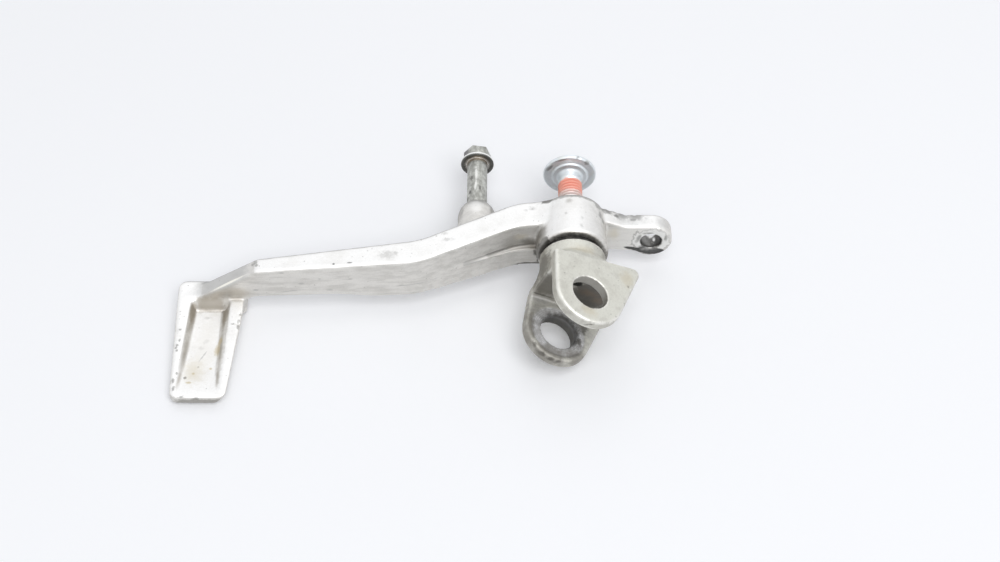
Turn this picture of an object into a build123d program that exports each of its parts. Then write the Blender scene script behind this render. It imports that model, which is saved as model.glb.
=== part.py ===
from build123d import *
from math import cos, radians, sin
import os

# Motorcycle rear brake pedal on its footrest clevis, sizes in millimetres.
# Origin: on the pivot axis, at the rear face of the clevis spindle, which seats on the bike's hanger.
# X runs along the lever from the foot pad to the push-rod lug, Y along the pivot towards the bike,
# Z up with the tread of the foot pad facing down.

# Pivot eye and the spindle in it
spindle_r = 7.5
running_clearance = 0.05
bush_wall = 1.5
eye_length = 21.0
eye_front_r = 14.5
eye_rear_r = 13.4
eye_chamfer = 0.8
eye_ramp_x = -14.5
eye_ramp_sink = 0.4
seat_proud = 0.5
collar_gap = 2.6

# Dust seals in the two ends of the eye
seal_depth = 2.0
seal_width = 3.6
rear_seal_width = 1.9
seal_air = 0.4
seal_round = 0.5

# Arm: stations along X, then its rear face, thickness, top and bottom at them
root_x = -21.0
bend_x = -61.0
keel_x = -79.0
waist_run = 15.0
heel_lead = 5.6
reach = 158.0
bend_set = 18.4
heel_set = 25.4
root_thick = 12.8
bend_thick = 12.0
heel_thick = 7.4
root_top = 8.8
heel_top = 3.2
slope_length = 23.0
slope_foot = 7.0
slope_round = 14.0
root_bottom = -12.6
keel_bottom = -14.4
waist_bottom = -12.4
bend_round = 28.0
keel_round = 20.0
heel_round = 4.0
gusset = 4.0
arm_edge = 1.3

# Raised band along the foot of the arm's front face, dying out at the bend
band_x = -55.0
band_top = -3.6
band_raise = 2.2
band_root = 3.0

# Foot pad, a hollow-backed tread with two ribs that run out at its tip
tread_z = -22.0
pad_plate = 4.4
pocket_depth = 5.6
pad_root_width = 27.4
pad_tip_width = 21.4
pad_tip_skew = 1.2
pad_back = 1.6
pad_length = 45.6
pad_lap = 2.0
pad_corner = 3.5
rib_root = 7.6
rib_tip = 2.4
rib_runout = 3.0
pocket_draft = 22.0
pocket_set = 2.6
pocket_round = 1.0
pad_edge = 1.2
grip_count = 5
grip_pitch = 7.5
grip_width = 2.4
grip_depth = 1.0

# Push-rod lug behind the eye
lug_x = 32.5
lug_z = -7.4
lug_r = 8.6
lug_thick = 7.6
lug_hole_r = 4.1
lug_hole_chamfer = 0.6
lug_root_top = 5.0
lug_root_bottom = -12.4
lug_neck_run = 8.6
lug_neck_bottom = -14.0
lug_neck_round = 8.0
lug_edge = 0.9

# Spigot on the back of the arm, and the shouldered bolt in it that holds the springs
post_x = -38.3
post_z = -5.0
spigot_r = 7.8
spigot_nose_r = 4.5
spigot_shoulder_y = 0.5
spigot_end_y = 9.0
spigot_arc_r = 9.5
spigot_root = 5.0
post_thread_r = 3.0
post_thread_length = 12.0
post_hole_spare = 2.0
post_shank_r = 4.2
post_shank_length = 23.4
post_flange_r = 6.9
post_flange_thick = 1.6
post_hex = 10.0
post_hex_turn = -10.0
post_head = 5.4
post_head_chamfer = 0.6
post_dish = 0.5
post_dish_r = 6.0

# Footrest clevis
collar_r = 13.2
collar_length = 5.5
blend_length = 6.0
pin_reach = 29.0
pin_offset = -1.3
pin_tilt = 25.5
pin_hole_r = 7.4
ear_gap = 22.2
ear_thick = 4.8
ear_r = 14.4
lower_ear_r = 14.0
ear_back = 15.6
lower_ear_back = 12.6
wing_half = 22.4
wing_back = 19.4
wing_round = 2.8
gap_back = 14.4
hub_left = 13.2
hub_right = 13.0
hub_round = 4.0
ear_edge = 1.1
spot_r = 11.8
spot_depth = 0.4

# Pivot bolt, screwed into the spindle with the hanger's room between
thread_r = 5.0
thread_engage = 16.0
thread_spare = 3.0
hanger_grip = 21.0
flange_r = 10.9
flange_thick = 1.8
flange_ring_r = 7.0
flange_ring = 0.7
button_r = 8.6
button_height = 3.0
button_flat_r = 4.6
button_arc_r = 8.0
socket_af = 6.0
socket_depth = 3.1
thread_lead = 1.0

# Places that follow from the sizes
eye_rear_y = -seat_proud
eye_front_y = eye_rear_y - eye_length
collar_y = eye_front_y - collar_gap
pin_y = collar_y - pin_reach
bush_bore_r = spindle_r + running_clearance
eye_bore_r = bush_bore_r + bush_wall
seal_r = spindle_r + seal_width
rear_seal_r = spindle_r + rear_seal_width
pad_x = -reach
floor_z = tread_z + pad_plate
rim_z = floor_z + pocket_depth
root_front_y = eye_rear_y - root_thick
bend_rear_y = eye_rear_y - bend_set
bend_front_y = bend_rear_y - bend_thick
band_front_y = root_front_y + (bend_front_y - root_front_y) * (band_x - root_x) / (bend_x - root_x)
heel_rear_y = eye_rear_y - heel_set
heel_front_y = heel_rear_y - heel_thick
pad_tip_y = heel_front_y - pad_length
pad_inner_x = pad_x + pad_root_width
heel_x = pad_inner_x + heel_lead
waist_x = keel_x - waist_run
lug_neck_x = eye_rear_r + lug_neck_run
pad_tip_left = pad_x + pad_tip_skew
pad_tip_right = pad_tip_left + pad_tip_width
slope_x = heel_x - slope_length
pad_rear_y = heel_rear_y + pad_back
rib_fall = pocket_depth / (pad_rear_y - pad_tip_y - rib_runout)
slope_end_x = slope_x - slope_foot
post_seat_y = spigot_end_y + post_shank_length
tilt = radians(pin_tilt)
pin_axis = (sin(tilt), 0, cos(tilt))
across = (cos(tilt), 0, -sin(tilt))
ear_plane = Plane(origin=(0, 0, 0), x_dir=across, z_dir=pin_axis)
ear_top = ear_gap / 2 + ear_thick
gap_back_y = pin_y + gap_back
hub_rear_y = collar_y - collar_length
hub_front_y = hub_rear_y - blend_length
flange_y = hanger_grip + flange_ring
button_y = flange_y + flange_thick
head_y = button_y + button_height
pivot_plane = Plane.XZ


def hub_plane(y):
    """Plane across the pivot at a depth y, its axes turned to the clevis ears."""
    return Plane(origin=(0, y, 0), x_dir=across, z_dir=(0, -1, 0))


# Raised band on the arm's front face, from its side outline and its plan
with BuildPart() as band:
    with BuildSketch(Plane.XZ):
        with BuildLine():
            Polyline(
                (0, band_top),
                (keel_x, band_top),
                (keel_x, keel_bottom),
                (root_x, root_bottom),
                (0, root_bottom),
                close=True,
            )
        make_face()
    extrude(amount=reach, both=True)
    with BuildSketch(Plane.XY) as band_plan:
        with BuildLine():
            Polyline(
                (0, root_front_y + band_root),
                (0, root_front_y - band_raise),
                (root_x, root_front_y - band_raise),
                (band_x, band_front_y),
                (band_x, band_front_y + band_root),
                (root_x, root_front_y + band_root),
                close=True,
            )
        make_face()
        fillet(band_plan.vertices().filter_by_position(Axis.X, root_x, root_x), bend_round)
    extrude(amount=reach, both=True, mode=Mode.INTERSECT)

# Foot pad: tread plate and ribs, the ribs falling to the plate at the tip
with BuildPart() as pad:
    with BuildSketch(Plane.XY.offset(tread_z)) as pad_plan:
        with BuildLine():
            Polyline(
                (pad_x, pad_rear_y),
                (pad_inner_x, pad_rear_y),
                (pad_inner_x, heel_front_y),
                (pad_tip_right, pad_tip_y),
                (pad_tip_left, pad_tip_y),
                close=True,
            )
        make_face()
        fillet(pad_plan.vertices(), pad_corner)
    extrude(amount=rim_z - tread_z)
    with BuildSketch(Plane.YZ.offset(pad_x - pad_lap)):
        with BuildLine():
            Polyline(
                (pad_rear_y + pad_lap, rim_z + pad_lap * rib_fall),
                (pad_tip_y - pad_lap, floor_z - (rib_runout + pad_lap) * rib_fall),
                (pad_tip_y - pad_lap, rim_z + pad_lap),
                (pad_rear_y + pad_lap, rim_z + pad_lap),
                close=True,
            )
        make_face()
    extrude(amount=pad_root_width + 2 * pad_lap, mode=Mode.SUBTRACT)
    fillet(pad.edges().filter_by(Axis.Z, reverse=True), pad_edge)
    with BuildSketch(Plane.XY.offset(floor_z)):
        with BuildLine():
            Polyline(
                (pad_x + rib_root, heel_front_y - pocket_set),
                (pad_inner_x - rib_root, heel_front_y - pocket_set),
                (pad_tip_right - rib_tip, pad_tip_y - pad_lap),
                (pad_tip_left + rib_tip, pad_tip_y - pad_lap),
                close=True,
            )
        make_face()
    extrude(amount=pocket_depth, taper=-pocket_draft, mode=Mode.SUBTRACT)
    pocket_floor = pad.faces(Select.LAST).filter_by(Axis.Z).sort_by(Axis.Z)[0]
    pocket_foot = pocket_floor.edges().filter_by_position(Axis.Y, pad_tip_y, heel_front_y, (False, True))
    fillet(pocket_foot, pocket_round)

    # Grip grooves across the tread
    with BuildSketch(Plane.XY.offset(tread_z)):
        with Locations((pad_x + pad_root_width / 2, (heel_front_y + pad_tip_y) / 2)):
            with GridLocations(pad_root_width, grip_pitch, 1, grip_count):
                Rectangle(pad_root_width + 2 * pad_lap, grip_width)
    extrude(amount=grip_depth, mode=Mode.SUBTRACT)

# Push-rod lug, a flat neck that ends in a round boss
with BuildPart() as lug:
    with BuildSketch(pivot_plane.offset(-eye_rear_y)) as lug_side:
        with BuildLine():
            Polyline(
                (0, lug_root_top),
                (eye_rear_r, lug_root_top),
                (lug_neck_x, lug_z + lug_r),
                (lug_x, lug_z + lug_r),
                (lug_x, lug_neck_bottom),
                (eye_rear_r, lug_root_bottom),
                (0, lug_root_bottom),
                close=True,
            )
        make_face()
        fillet(lug_side.vertices().filter_by_position(Axis.X, eye_rear_r, lug_neck_x), lug_neck_round)
        with Locations((lug_x, lug_z)):
            Circle(lug_r)
    extrude(amount=lug_thick)
    fillet(lug.edges().filter_by(Axis.Y, reverse=True), lug_edge)
    with BuildSketch(pivot_plane.offset(-eye_rear_y)):
        with Locations((lug_x, lug_z)):
            Circle(lug_hole_r)
    extrude(amount=lug_thick, mode=Mode.SUBTRACT)
    chamfer(lug.edges(Select.LAST).filter_by(GeomType.CIRCLE), lug_hole_chamfer)

# Pedal: arm, foot pad, eye, lug and spigot cast in one piece
with BuildPart() as pedal_arm:
    # Arm as its side outline, kept where its plan covers it
    with BuildSketch(Plane.XZ) as side:
        with BuildLine():
            Polyline(
                (0, eye_rear_r - eye_ramp_sink),
                (eye_ramp_x, root_top),
                (root_x, root_top),
                (heel_x, heel_top),
                (slope_x, rim_z),
                (slope_end_x, rim_z - slope_foot * rib_fall),
                (slope_end_x, floor_z),
                (pad_inner_x - pad_lap, floor_z),
                (pad_inner_x - pad_lap, waist_bottom - gusset),
                (pad_inner_x + gusset, waist_bottom),
                (waist_x, waist_bottom),
                (keel_x, keel_bottom),
                (root_x, root_bottom),
                (0, root_bottom),
                close=True,
            )
        make_face()
        fillet(side.vertices().filter_by_position(Axis.X, pad_inner_x, heel_x), heel_round)
        fillet(side.vertices().filter_by_position(Axis.X, slope_x, slope_x), slope_round)
        fillet(side.vertices().filter_by_position(Axis.X, waist_x, eye_ramp_x), keel_round)
    extrude(amount=reach, both=True)
    with BuildSketch(Plane.XY) as plan:
        with BuildLine():
            Polyline(
                (0, eye_rear_y),
                (root_x, eye_rear_y),
                (bend_x, bend_rear_y),
                (heel_x, heel_rear_y),
                (slope_end_x, heel_rear_y),
                (slope_end_x, heel_front_y),
                (heel_x, heel_front_y),
                (bend_x, bend_front_y),
                (root_x, root_front_y),
                (0, root_front_y),
                close=True,
            )
        make_face()
        fillet(plan.vertices().filter_by_position(Axis.X, heel_x, root_x), bend_round)
    extrude(amount=reach, both=True, mode=Mode.INTERSECT)
    long_edges = pedal_arm.edges().filter_by(Axis.Z, reverse=True).filter_by(Axis.Y, reverse=True)
    top_edges = long_edges.filter_by_position(Axis.Z, rim_z - slope_foot * rib_fall, eye_rear_r)
    bottom_edges = long_edges.filter_by_position(Axis.X, pad_inner_x, 0) - top_edges
    fillet(top_edges + bottom_edges, arm_edge)

    # Foot pad, lug, raised band and pivot eye
    add(pad.part)
    add(lug.part)
    add(band.part)
    with BuildSketch(Plane.XY):
        with BuildLine():
            Polyline(
                (0, eye_front_y),
                (eye_front_r - eye_chamfer, eye_front_y),
                (eye_front_r, eye_front_y + eye_chamfer),
                (eye_rear_r, eye_rear_y - eye_chamfer),
                (eye_rear_r - eye_chamfer, eye_rear_y),
                (0, eye_rear_y),
                close=True,
            )
        make_face()
    revolve(axis=Axis.Y)

    # Spigot for the spring post
    with BuildSketch(Plane.XY.offset(post_z)):
        with BuildLine():
            Polyline(
                (post_x, spigot_end_y),
                (post_x, eye_rear_y - bend_set / 2 - spigot_root),
                (post_x + spigot_r, eye_rear_y - bend_set / 2 - spigot_root),
                (post_x + spigot_r, spigot_shoulder_y),
            )
            RadiusArc(
                (post_x + spigot_r, spigot_shoulder_y),
                (post_x + spigot_nose_r, spigot_end_y),
                -spigot_arc_r,
            )
            Line((post_x + spigot_nose_r, spigot_end_y), (post_x, spigot_end_y))
        make_face()
    revolve(axis=Axis((post_x, 0, post_z), (0, 1, 0)))

    # Holes: bush bore, seal seats and post thread
    with BuildSketch(pivot_plane.offset(-eye_rear_y)):
        Circle(eye_bore_r)
    extrude(amount=eye_length, mode=Mode.SUBTRACT)
    with BuildSketch(pivot_plane.offset(-eye_rear_y)):
        Circle(rear_seal_r)
    extrude(amount=seal_depth, mode=Mode.SUBTRACT)
    with BuildSketch(pivot_plane.offset(-eye_front_y - seal_depth)):
        Circle(seal_r)
    extrude(amount=seal_depth, mode=Mode.SUBTRACT)
    with BuildSketch(pivot_plane.offset(-spigot_end_y)):
        with Locations((post_x, post_z)):
            Circle(post_thread_r)
    extrude(amount=post_thread_length + post_hole_spare, mode=Mode.SUBTRACT)

# Bearing bush pressed into the eye
with BuildPart() as pivot_bush:
    with BuildSketch(pivot_plane.offset(-eye_rear_y + seal_depth)):
        Circle(eye_bore_r)
        Circle(bush_bore_r, mode=Mode.SUBTRACT)
    extrude(amount=eye_length - 2 * seal_depth)

# Rubber dust seals at the two ends of the eye
with BuildPart() as front_dust_seal:
    with BuildSketch(pivot_plane.offset(-eye_front_y - seal_depth)):
        Circle(seal_r)
        Circle(bush_bore_r, mode=Mode.SUBTRACT)
    extrude(amount=seal_depth + collar_gap - seal_air)
    fillet(front_dust_seal.edges().group_by(Axis.Y)[0].sort_by(SortBy.RADIUS)[-1], seal_round)

with BuildPart() as rear_dust_seal:
    with BuildSketch(pivot_plane.offset(-eye_rear_y + seal_air)):
        Circle(rear_seal_r)
        Circle(bush_bore_r, mode=Mode.SUBTRACT)
    extrude(amount=seal_depth - seal_air)

# Footrest clevis: two ears on a hub, collar and spindle, cast in one piece
with BuildPart() as footrest_clevis:
    upper_ear = (ear_gap / 2, ear_r, ear_back)
    lower_ear = (-ear_top, lower_ear_r, lower_ear_back)
    for ear_base, radius, back_left in (upper_ear, lower_ear):
        with BuildSketch(ear_plane.offset(ear_base)):
            with Locations((pin_offset, pin_y)):
                Circle(radius)
            with Locations((pin_offset + wing_half - wing_round, pin_y + wing_back - wing_round)):
                Circle(wing_round)
            with Locations((-back_left / 2, (pin_y + hub_front_y) / 2)):
                Rectangle(back_left, hub_front_y - pin_y)
            make_hull()
        extrude(amount=ear_thick)
    rim_edges = footrest_clevis.edges().filter_by(Axis((0, 0, 0), pin_axis), reverse=True)
    fillet(rim_edges, ear_edge)

    # Hub: square behind the gap, drawn in to the round collar
    with BuildSketch(hub_plane(hub_front_y)) as hub_front:
        with Locations(((hub_right - hub_left) / 2, 0)):
            RectangleRounded(hub_right + hub_left, 2 * ear_top, hub_round)
    extrude(amount=hub_front_y - gap_back_y)
    with BuildSketch(hub_plane(hub_front_y)):
        with Locations(((hub_right - hub_left) / 2, 0)):
            RectangleRounded(hub_right + hub_left, 2 * ear_top, hub_round)
    with BuildSketch(hub_plane(hub_rear_y)):
        Circle(collar_r)
    loft()
    with BuildSketch(Plane.XY):
        with BuildLine():
            Polyline(
                (0, 0),
                (spindle_r, 0),
                (spindle_r, collar_y),
                (collar_r, collar_y),
                (collar_r, hub_rear_y),
                (0, hub_rear_y),
                close=True,
            )
        make_face()
    revolve(axis=Axis.Y)

    # Pin holes with spot faces inside the ears, and the bolt's thread in the spindle
    with BuildSketch(ear_plane.offset(-ear_top)):
        with Locations((pin_offset, pin_y)):
            Circle(pin_hole_r)
    extrude(amount=2 * ear_top, mode=Mode.SUBTRACT)
    with BuildSketch(ear_plane.offset(-ear_gap / 2 - spot_depth)):
        with Locations((pin_offset, pin_y)):
            Circle(spot_r)
    extrude(amount=ear_gap + 2 * spot_depth, mode=Mode.SUBTRACT)
    with BuildSketch(pivot_plane):
        Circle(thread_r)
    extrude(amount=thread_engage + thread_spare, mode=Mode.SUBTRACT)

# Pivot bolt with a wide flanged button head
with BuildPart() as pivot_bolt:
    with BuildSketch(Plane.XY):
        with BuildLine():
            Polyline(
                (button_flat_r, head_y),
                (0, head_y),
                (0, -thread_engage),
                (thread_r - thread_lead, -thread_engage),
                (thread_r, -thread_engage + thread_lead),
                (thread_r, hanger_grip),
                (flange_ring_r, hanger_grip),
                (flange_ring_r + flange_ring, flange_y),
                (flange_r, flange_y),
                (flange_r, button_y),
                (button_r, button_y),
            )
            RadiusArc((button_r, button_y), (button_flat_r, head_y), -button_arc_r)
        make_face()
    revolve(axis=Axis.Y)
    with BuildSketch(pivot_plane.offset(-head_y)):
        RegularPolygon(socket_af / 2, 6, major_radius=False)
    extrude(amount=socket_depth, mode=Mode.SUBTRACT)

# Shouldered flange bolt, the post that the springs hook on
with BuildPart() as spring_post_bolt:
    with BuildSketch(Plane.XY.offset(post_z)):
        with BuildLine():
            Polyline(
                (post_x, spigot_end_y - post_thread_length),
                (post_x + post_thread_r, spigot_end_y - post_thread_length),
                (post_x + post_thread_r, spigot_end_y),
                (post_x + post_shank_r, spigot_end_y),
                (post_x + post_shank_r, post_seat_y + post_dish),
                (post_x + post_dish_r, post_seat_y),
                (post_x + post_flange_r, post_seat_y),
                (post_x + post_flange_r, post_seat_y + post_flange_thick),
                (post_x, post_seat_y + post_flange_thick),
                close=True,
            )
        make_face()
    revolve(axis=Axis((post_x, 0, post_z), (0, 1, 0)))
    with BuildSketch(pivot_plane.offset(-post_seat_y - post_flange_thick - post_head)):
        with Locations((post_x, post_z)):
            RegularPolygon(post_hex / 2, 6, major_radius=False, rotation=post_hex_turn)
    extrude(amount=post_head)
    chamfer(spring_post_bolt.edges().group_by(Axis.Y)[-1], post_head_chamfer)

pedal_arm.part.label = "pedal_arm"
pivot_bush.part.label = "pivot_bush"
front_dust_seal.part.label = "front_dust_seal"
rear_dust_seal.part.label = "rear_dust_seal"
footrest_clevis.part.label = "footrest_clevis"
pivot_bolt.part.label = "pivot_bolt"
spring_post_bolt.part.label = "spring_post_bolt"

os.makedirs("parts", exist_ok=True)
export_step(pedal_arm.part, "parts/pedal_arm.step")
export_step(pivot_bush.part, "parts/pivot_bush.step")
export_step(front_dust_seal.part, "parts/front_dust_seal.step")
export_step(rear_dust_seal.part, "parts/rear_dust_seal.step")
export_step(footrest_clevis.part, "parts/footrest_clevis.step")
export_step(pivot_bolt.part, "parts/pivot_bolt.step")
export_step(spring_post_bolt.part, "parts/spring_post_bolt.step")
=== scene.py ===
"""Looks of a motorcycle rear brake pedal on its footrest clevis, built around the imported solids."""

import logging
import math
from dataclasses import dataclass
from enum import Enum
from typing import Optional, Sequence, Union

import bmesh
import bpy
from mathutils import Euler, Matrix, Vector, noise
from mathutils.kdtree import KDTree

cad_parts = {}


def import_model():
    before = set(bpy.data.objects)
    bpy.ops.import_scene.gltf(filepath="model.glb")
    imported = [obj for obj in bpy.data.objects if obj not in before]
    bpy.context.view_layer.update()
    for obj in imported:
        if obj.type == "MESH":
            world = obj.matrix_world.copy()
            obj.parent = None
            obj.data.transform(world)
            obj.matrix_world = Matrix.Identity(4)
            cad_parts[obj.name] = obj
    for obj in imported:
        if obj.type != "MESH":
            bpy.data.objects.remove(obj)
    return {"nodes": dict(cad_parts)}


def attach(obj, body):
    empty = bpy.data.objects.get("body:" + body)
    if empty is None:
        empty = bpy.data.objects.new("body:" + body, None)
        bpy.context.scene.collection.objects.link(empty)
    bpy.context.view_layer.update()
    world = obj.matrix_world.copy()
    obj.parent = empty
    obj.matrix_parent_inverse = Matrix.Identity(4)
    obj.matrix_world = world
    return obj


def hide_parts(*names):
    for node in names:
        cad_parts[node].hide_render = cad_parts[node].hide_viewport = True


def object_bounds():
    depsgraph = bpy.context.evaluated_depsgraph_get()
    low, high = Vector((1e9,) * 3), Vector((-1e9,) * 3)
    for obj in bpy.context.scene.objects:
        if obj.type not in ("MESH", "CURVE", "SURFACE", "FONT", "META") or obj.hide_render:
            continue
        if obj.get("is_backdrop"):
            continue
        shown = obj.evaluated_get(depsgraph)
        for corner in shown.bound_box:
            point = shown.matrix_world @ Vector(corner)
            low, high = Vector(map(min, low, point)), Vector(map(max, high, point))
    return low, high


LOG = logging.getLogger("brake_pedal")
MM = 0.001
SHARP = math.radians(28.0)
SPIN_WELD = 0.001
COPY_WELD = 0.002
PAINT_REACH = 1.6
FLOOR_GAP = 0.02

Pair = tuple[float, float]
Triple = tuple[float, float, float]
Outline = Sequence[Pair]
Socket = bpy.types.NodeSocket
Value = Union[float, Triple, Socket]
Inputs = dict[Union[str, int], Value]


class Body(Enum):
    """Rigid groups that the pieces ride on."""

    HOLDER = "footrest_holder"
    PEDAL = "pedal"


class Slot(Enum):
    """Finish slots of the record."""

    PEDAL_CASTING = "pedal_casting"
    CLEVIS_CASTING = "clevis_casting"
    BUSH_BRONZE = "bush_bronze"
    SEAL_RUBBER = "seal_rubber"
    ZINC_STEEL = "zinc_steel"
    DULL_STEEL = "dull_steel"


class Form(Enum):
    """Outlines that a mark can have, a tube with its axis along the mark's own Z."""

    ROUND = "round"
    BLOCK = "block"
    TUBE = "tube"


class Graph:
    """Node tree of one material, with short calls for the nodes that the finishes share."""

    def __init__(self, name: str) -> None:
        """Starts an empty material.

        Args:
            name: Name of the material.
        """
        self.material = bpy.data.materials.new(name)
        self.material.use_nodes = True
        self.tree = self.material.node_tree
        self.tree.nodes.clear()
        self.place = self.add("ShaderNodeTexCoord").outputs["Object"]

    def add(self, kind: str, inputs: Optional[Inputs] = None, **settings: object) -> bpy.types.Node:
        """Adds a node.

        Args:
            kind: Blender's name of the node type.
            inputs: Outputs of other nodes, numbers or colours for its inputs.
            **settings: Properties of the node.

        Returns:
            The new node.
        """
        node = self.tree.nodes.new(kind)
        for name, value in settings.items():
            setattr(node, name, value)
        for key, value in (inputs or {}).items():
            self.feed(node.inputs[key], value)
        return node

    def feed(self, socket: Socket, value: Value) -> None:
        """Links a socket, or sets its constant.

        Args:
            socket: Input of a node.
            value: Output of another node, a number or a colour.
        """
        if isinstance(value, bpy.types.NodeSocket):
            self.tree.links.new(value, socket)
        elif socket.type == "RGBA":
            socket.default_value = (*value, 1.0)
        else:
            socket.default_value = value

    def noise(
        self, scale: float, detail: float = 4.0, rough: float = 0.55, at: Optional[Socket] = None
    ) -> Socket:
        """Fractal noise of so many features per metre, about 0.5 in the middle."""
        inputs = {"Vector": at or self.place, "Scale": scale, "Detail": detail, "Roughness": rough}
        return self.add("ShaderNodeTexNoise", inputs).outputs[0]

    def stretched(self, scale: Triple) -> Socket:
        """Object coordinates with their axes scaled, so that a noise runs in streaks."""
        inputs = {"Vector": self.place, "Scale": scale}
        return self.add("ShaderNodeMapping", inputs, vector_type="POINT").outputs[0]

    def local(self, place: Triple, radii: Triple, turn: Triple = (0, 0, 0)) -> Socket:
        """Coordinates inside an ellipsoid, 1 long on its surface.

        Args:
            place: Centre in millimetres.
            radii: Half axes in millimetres.
            turn: Rotation in degrees about X, Y and Z.

        Returns:
            The coordinates.
        """
        spot = {"Location": [v * MM for v in place], "Rotation": [math.radians(v) for v in turn]}
        inputs = {"Vector": self.place, **spot, "Scale": [v * MM for v in radii]}
        return self.add("ShaderNodeMapping", inputs, vector_type="TEXTURE").outputs[0]

    def parts(self, vector: Socket) -> tuple[Socket, Socket, Socket]:
        """The three parts of a vector."""
        return tuple(self.add("ShaderNodeSeparateXYZ", {0: vector}).outputs)

    def length(self, vector: Socket) -> Socket:
        """Length of a vector."""
        return self.add("ShaderNodeVectorMath", {0: vector}, operation="LENGTH").outputs["Value"]

    def math(self, operation: str, a: Value, b: Value = 0.0) -> Socket:
        """Result of a math node on two values."""
        return self.add("ShaderNodeMath", {0: a, 1: b}, operation=operation).outputs[0]

    def times(self, a: Value, b: Value) -> Socket:
        """Product of two values."""
        return self.math("MULTIPLY", a, b)

    def plus(self, a: Value, b: Value) -> Socket:
        """Sum of two values."""
        return self.math("ADD", a, b)

    def less(self, a: Value, b: Value) -> Socket:
        """First value less the second."""
        return self.math("SUBTRACT", a, b)

    def span(self, source: Socket, low: float, high: float, first: float = 0.0, last: float = 1.0) -> Socket:
        """Smooth step of a value, from the first result at the low end to the last at the high end."""
        inputs = {"Value": source, "From Min": low, "From Max": high, "To Min": first, "To Max": last}
        return self.add("ShaderNodeMapRange", inputs, interpolation_type="SMOOTHSTEP").outputs[0]

    def mix(self, factor: Value, a: Value, b: Value, mode: str = "MIX") -> Socket:
        """Mix of two colours, where the factor is the share of the second."""
        inputs = {0: factor, 6: a, 7: b}
        return self.add("ShaderNodeMix", inputs, data_type="RGBA", blend_type=mode).outputs[2]

    def specks(self, scale: float, size: float, share: float) -> Socket:
        """Mask of scattered dots.

        Args:
            scale: Cells per metre.
            size: Radius of a dot, as a share of a cell.
            share: Share of the cells that have one.

        Returns:
            The mask.
        """
        cells = self.add("ShaderNodeTexVoronoi", {"Vector": self.place, "Scale": scale})
        lot = self.add("ShaderNodeSeparateColor", {0: cells.outputs["Color"]}).outputs[0]
        near = self.span(cells.outputs["Distance"], size * 0.4, size, 1.0, 0.0)
        return self.times(near, self.span(lot, 1.0 - share, 1.02 - share))

    def attribute(self, name: str) -> Socket:
        """Value of one of the mesh's own attributes."""
        return self.add("ShaderNodeAttribute", attribute_name=name).outputs["Fac"]

    def openness(self, reach: float) -> Socket:
        """How open a surface is to its own piece within a reach in millimetres, 0 in a corner."""
        node = self.add("ShaderNodeAmbientOcclusion", {"Distance": reach * MM}, samples=8, only_local=True)
        return node.outputs["AO"]

    def bump(self, height: Socket, depth: float, strength: float, below: Optional[Socket] = None) -> Socket:
        """Normal of a relief so many millimetres deep, on the relief below it."""
        inputs = {"Strength": strength, "Distance": depth * MM, "Height": height}
        return self.add("ShaderNodeBump", inputs if below is None else {**inputs, "Normal": below}).outputs[0]

    def close(self, **inputs: Value) -> bpy.types.Material:
        """Ends the tree with its shader.

        Args:
            **inputs: Values of the shader, with underscores for spaces.

        Returns:
            The material.
        """
        values = {name.replace("_", " "): value for name, value in inputs.items()}
        shader = self.add("ShaderNodeBsdfPrincipled", values)
        self.add("ShaderNodeOutputMaterial", {"Surface": shader.outputs[0]})
        return self.material


@dataclass(frozen=True)
class Mark:
    """Place of one mark of dirt, a scuff, a scratch, a painted shade or a painted highlight, in millimetres
    and degrees.
    """

    place: Triple
    radii: Triple
    turn: Triple = (0, 0, 0)
    form: Form = Form.ROUND

    def away(self, place: Vector) -> float:
        """How far a place is from the middle, 1 on the outline.

        Args:
            place: The place in millimetres.

        Returns:
            The distance.
        """
        back = Euler([math.radians(v) for v in self.turn]).to_matrix().transposed()
        offset = back @ (place - Vector(self.place))
        shares = Vector(o / r for o, r in zip(offset, self.radii))
        if self.form is Form.BLOCK:
            return max(abs(s) for s in shares)
        if self.form is Form.TUBE:
            return max(shares.xy.length, abs(shares.z))
        return shares.length


def marks(*rows: Sequence[float], form: Form = Form.ROUND) -> tuple[Mark, ...]:
    """Marks of one form, each from a row of its centre, half axes and, if it is turned, rotation."""
    return tuple(Mark(row[:3], row[3:6], row[6:] or (0, 0, 0), form) for row in rows)


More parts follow.
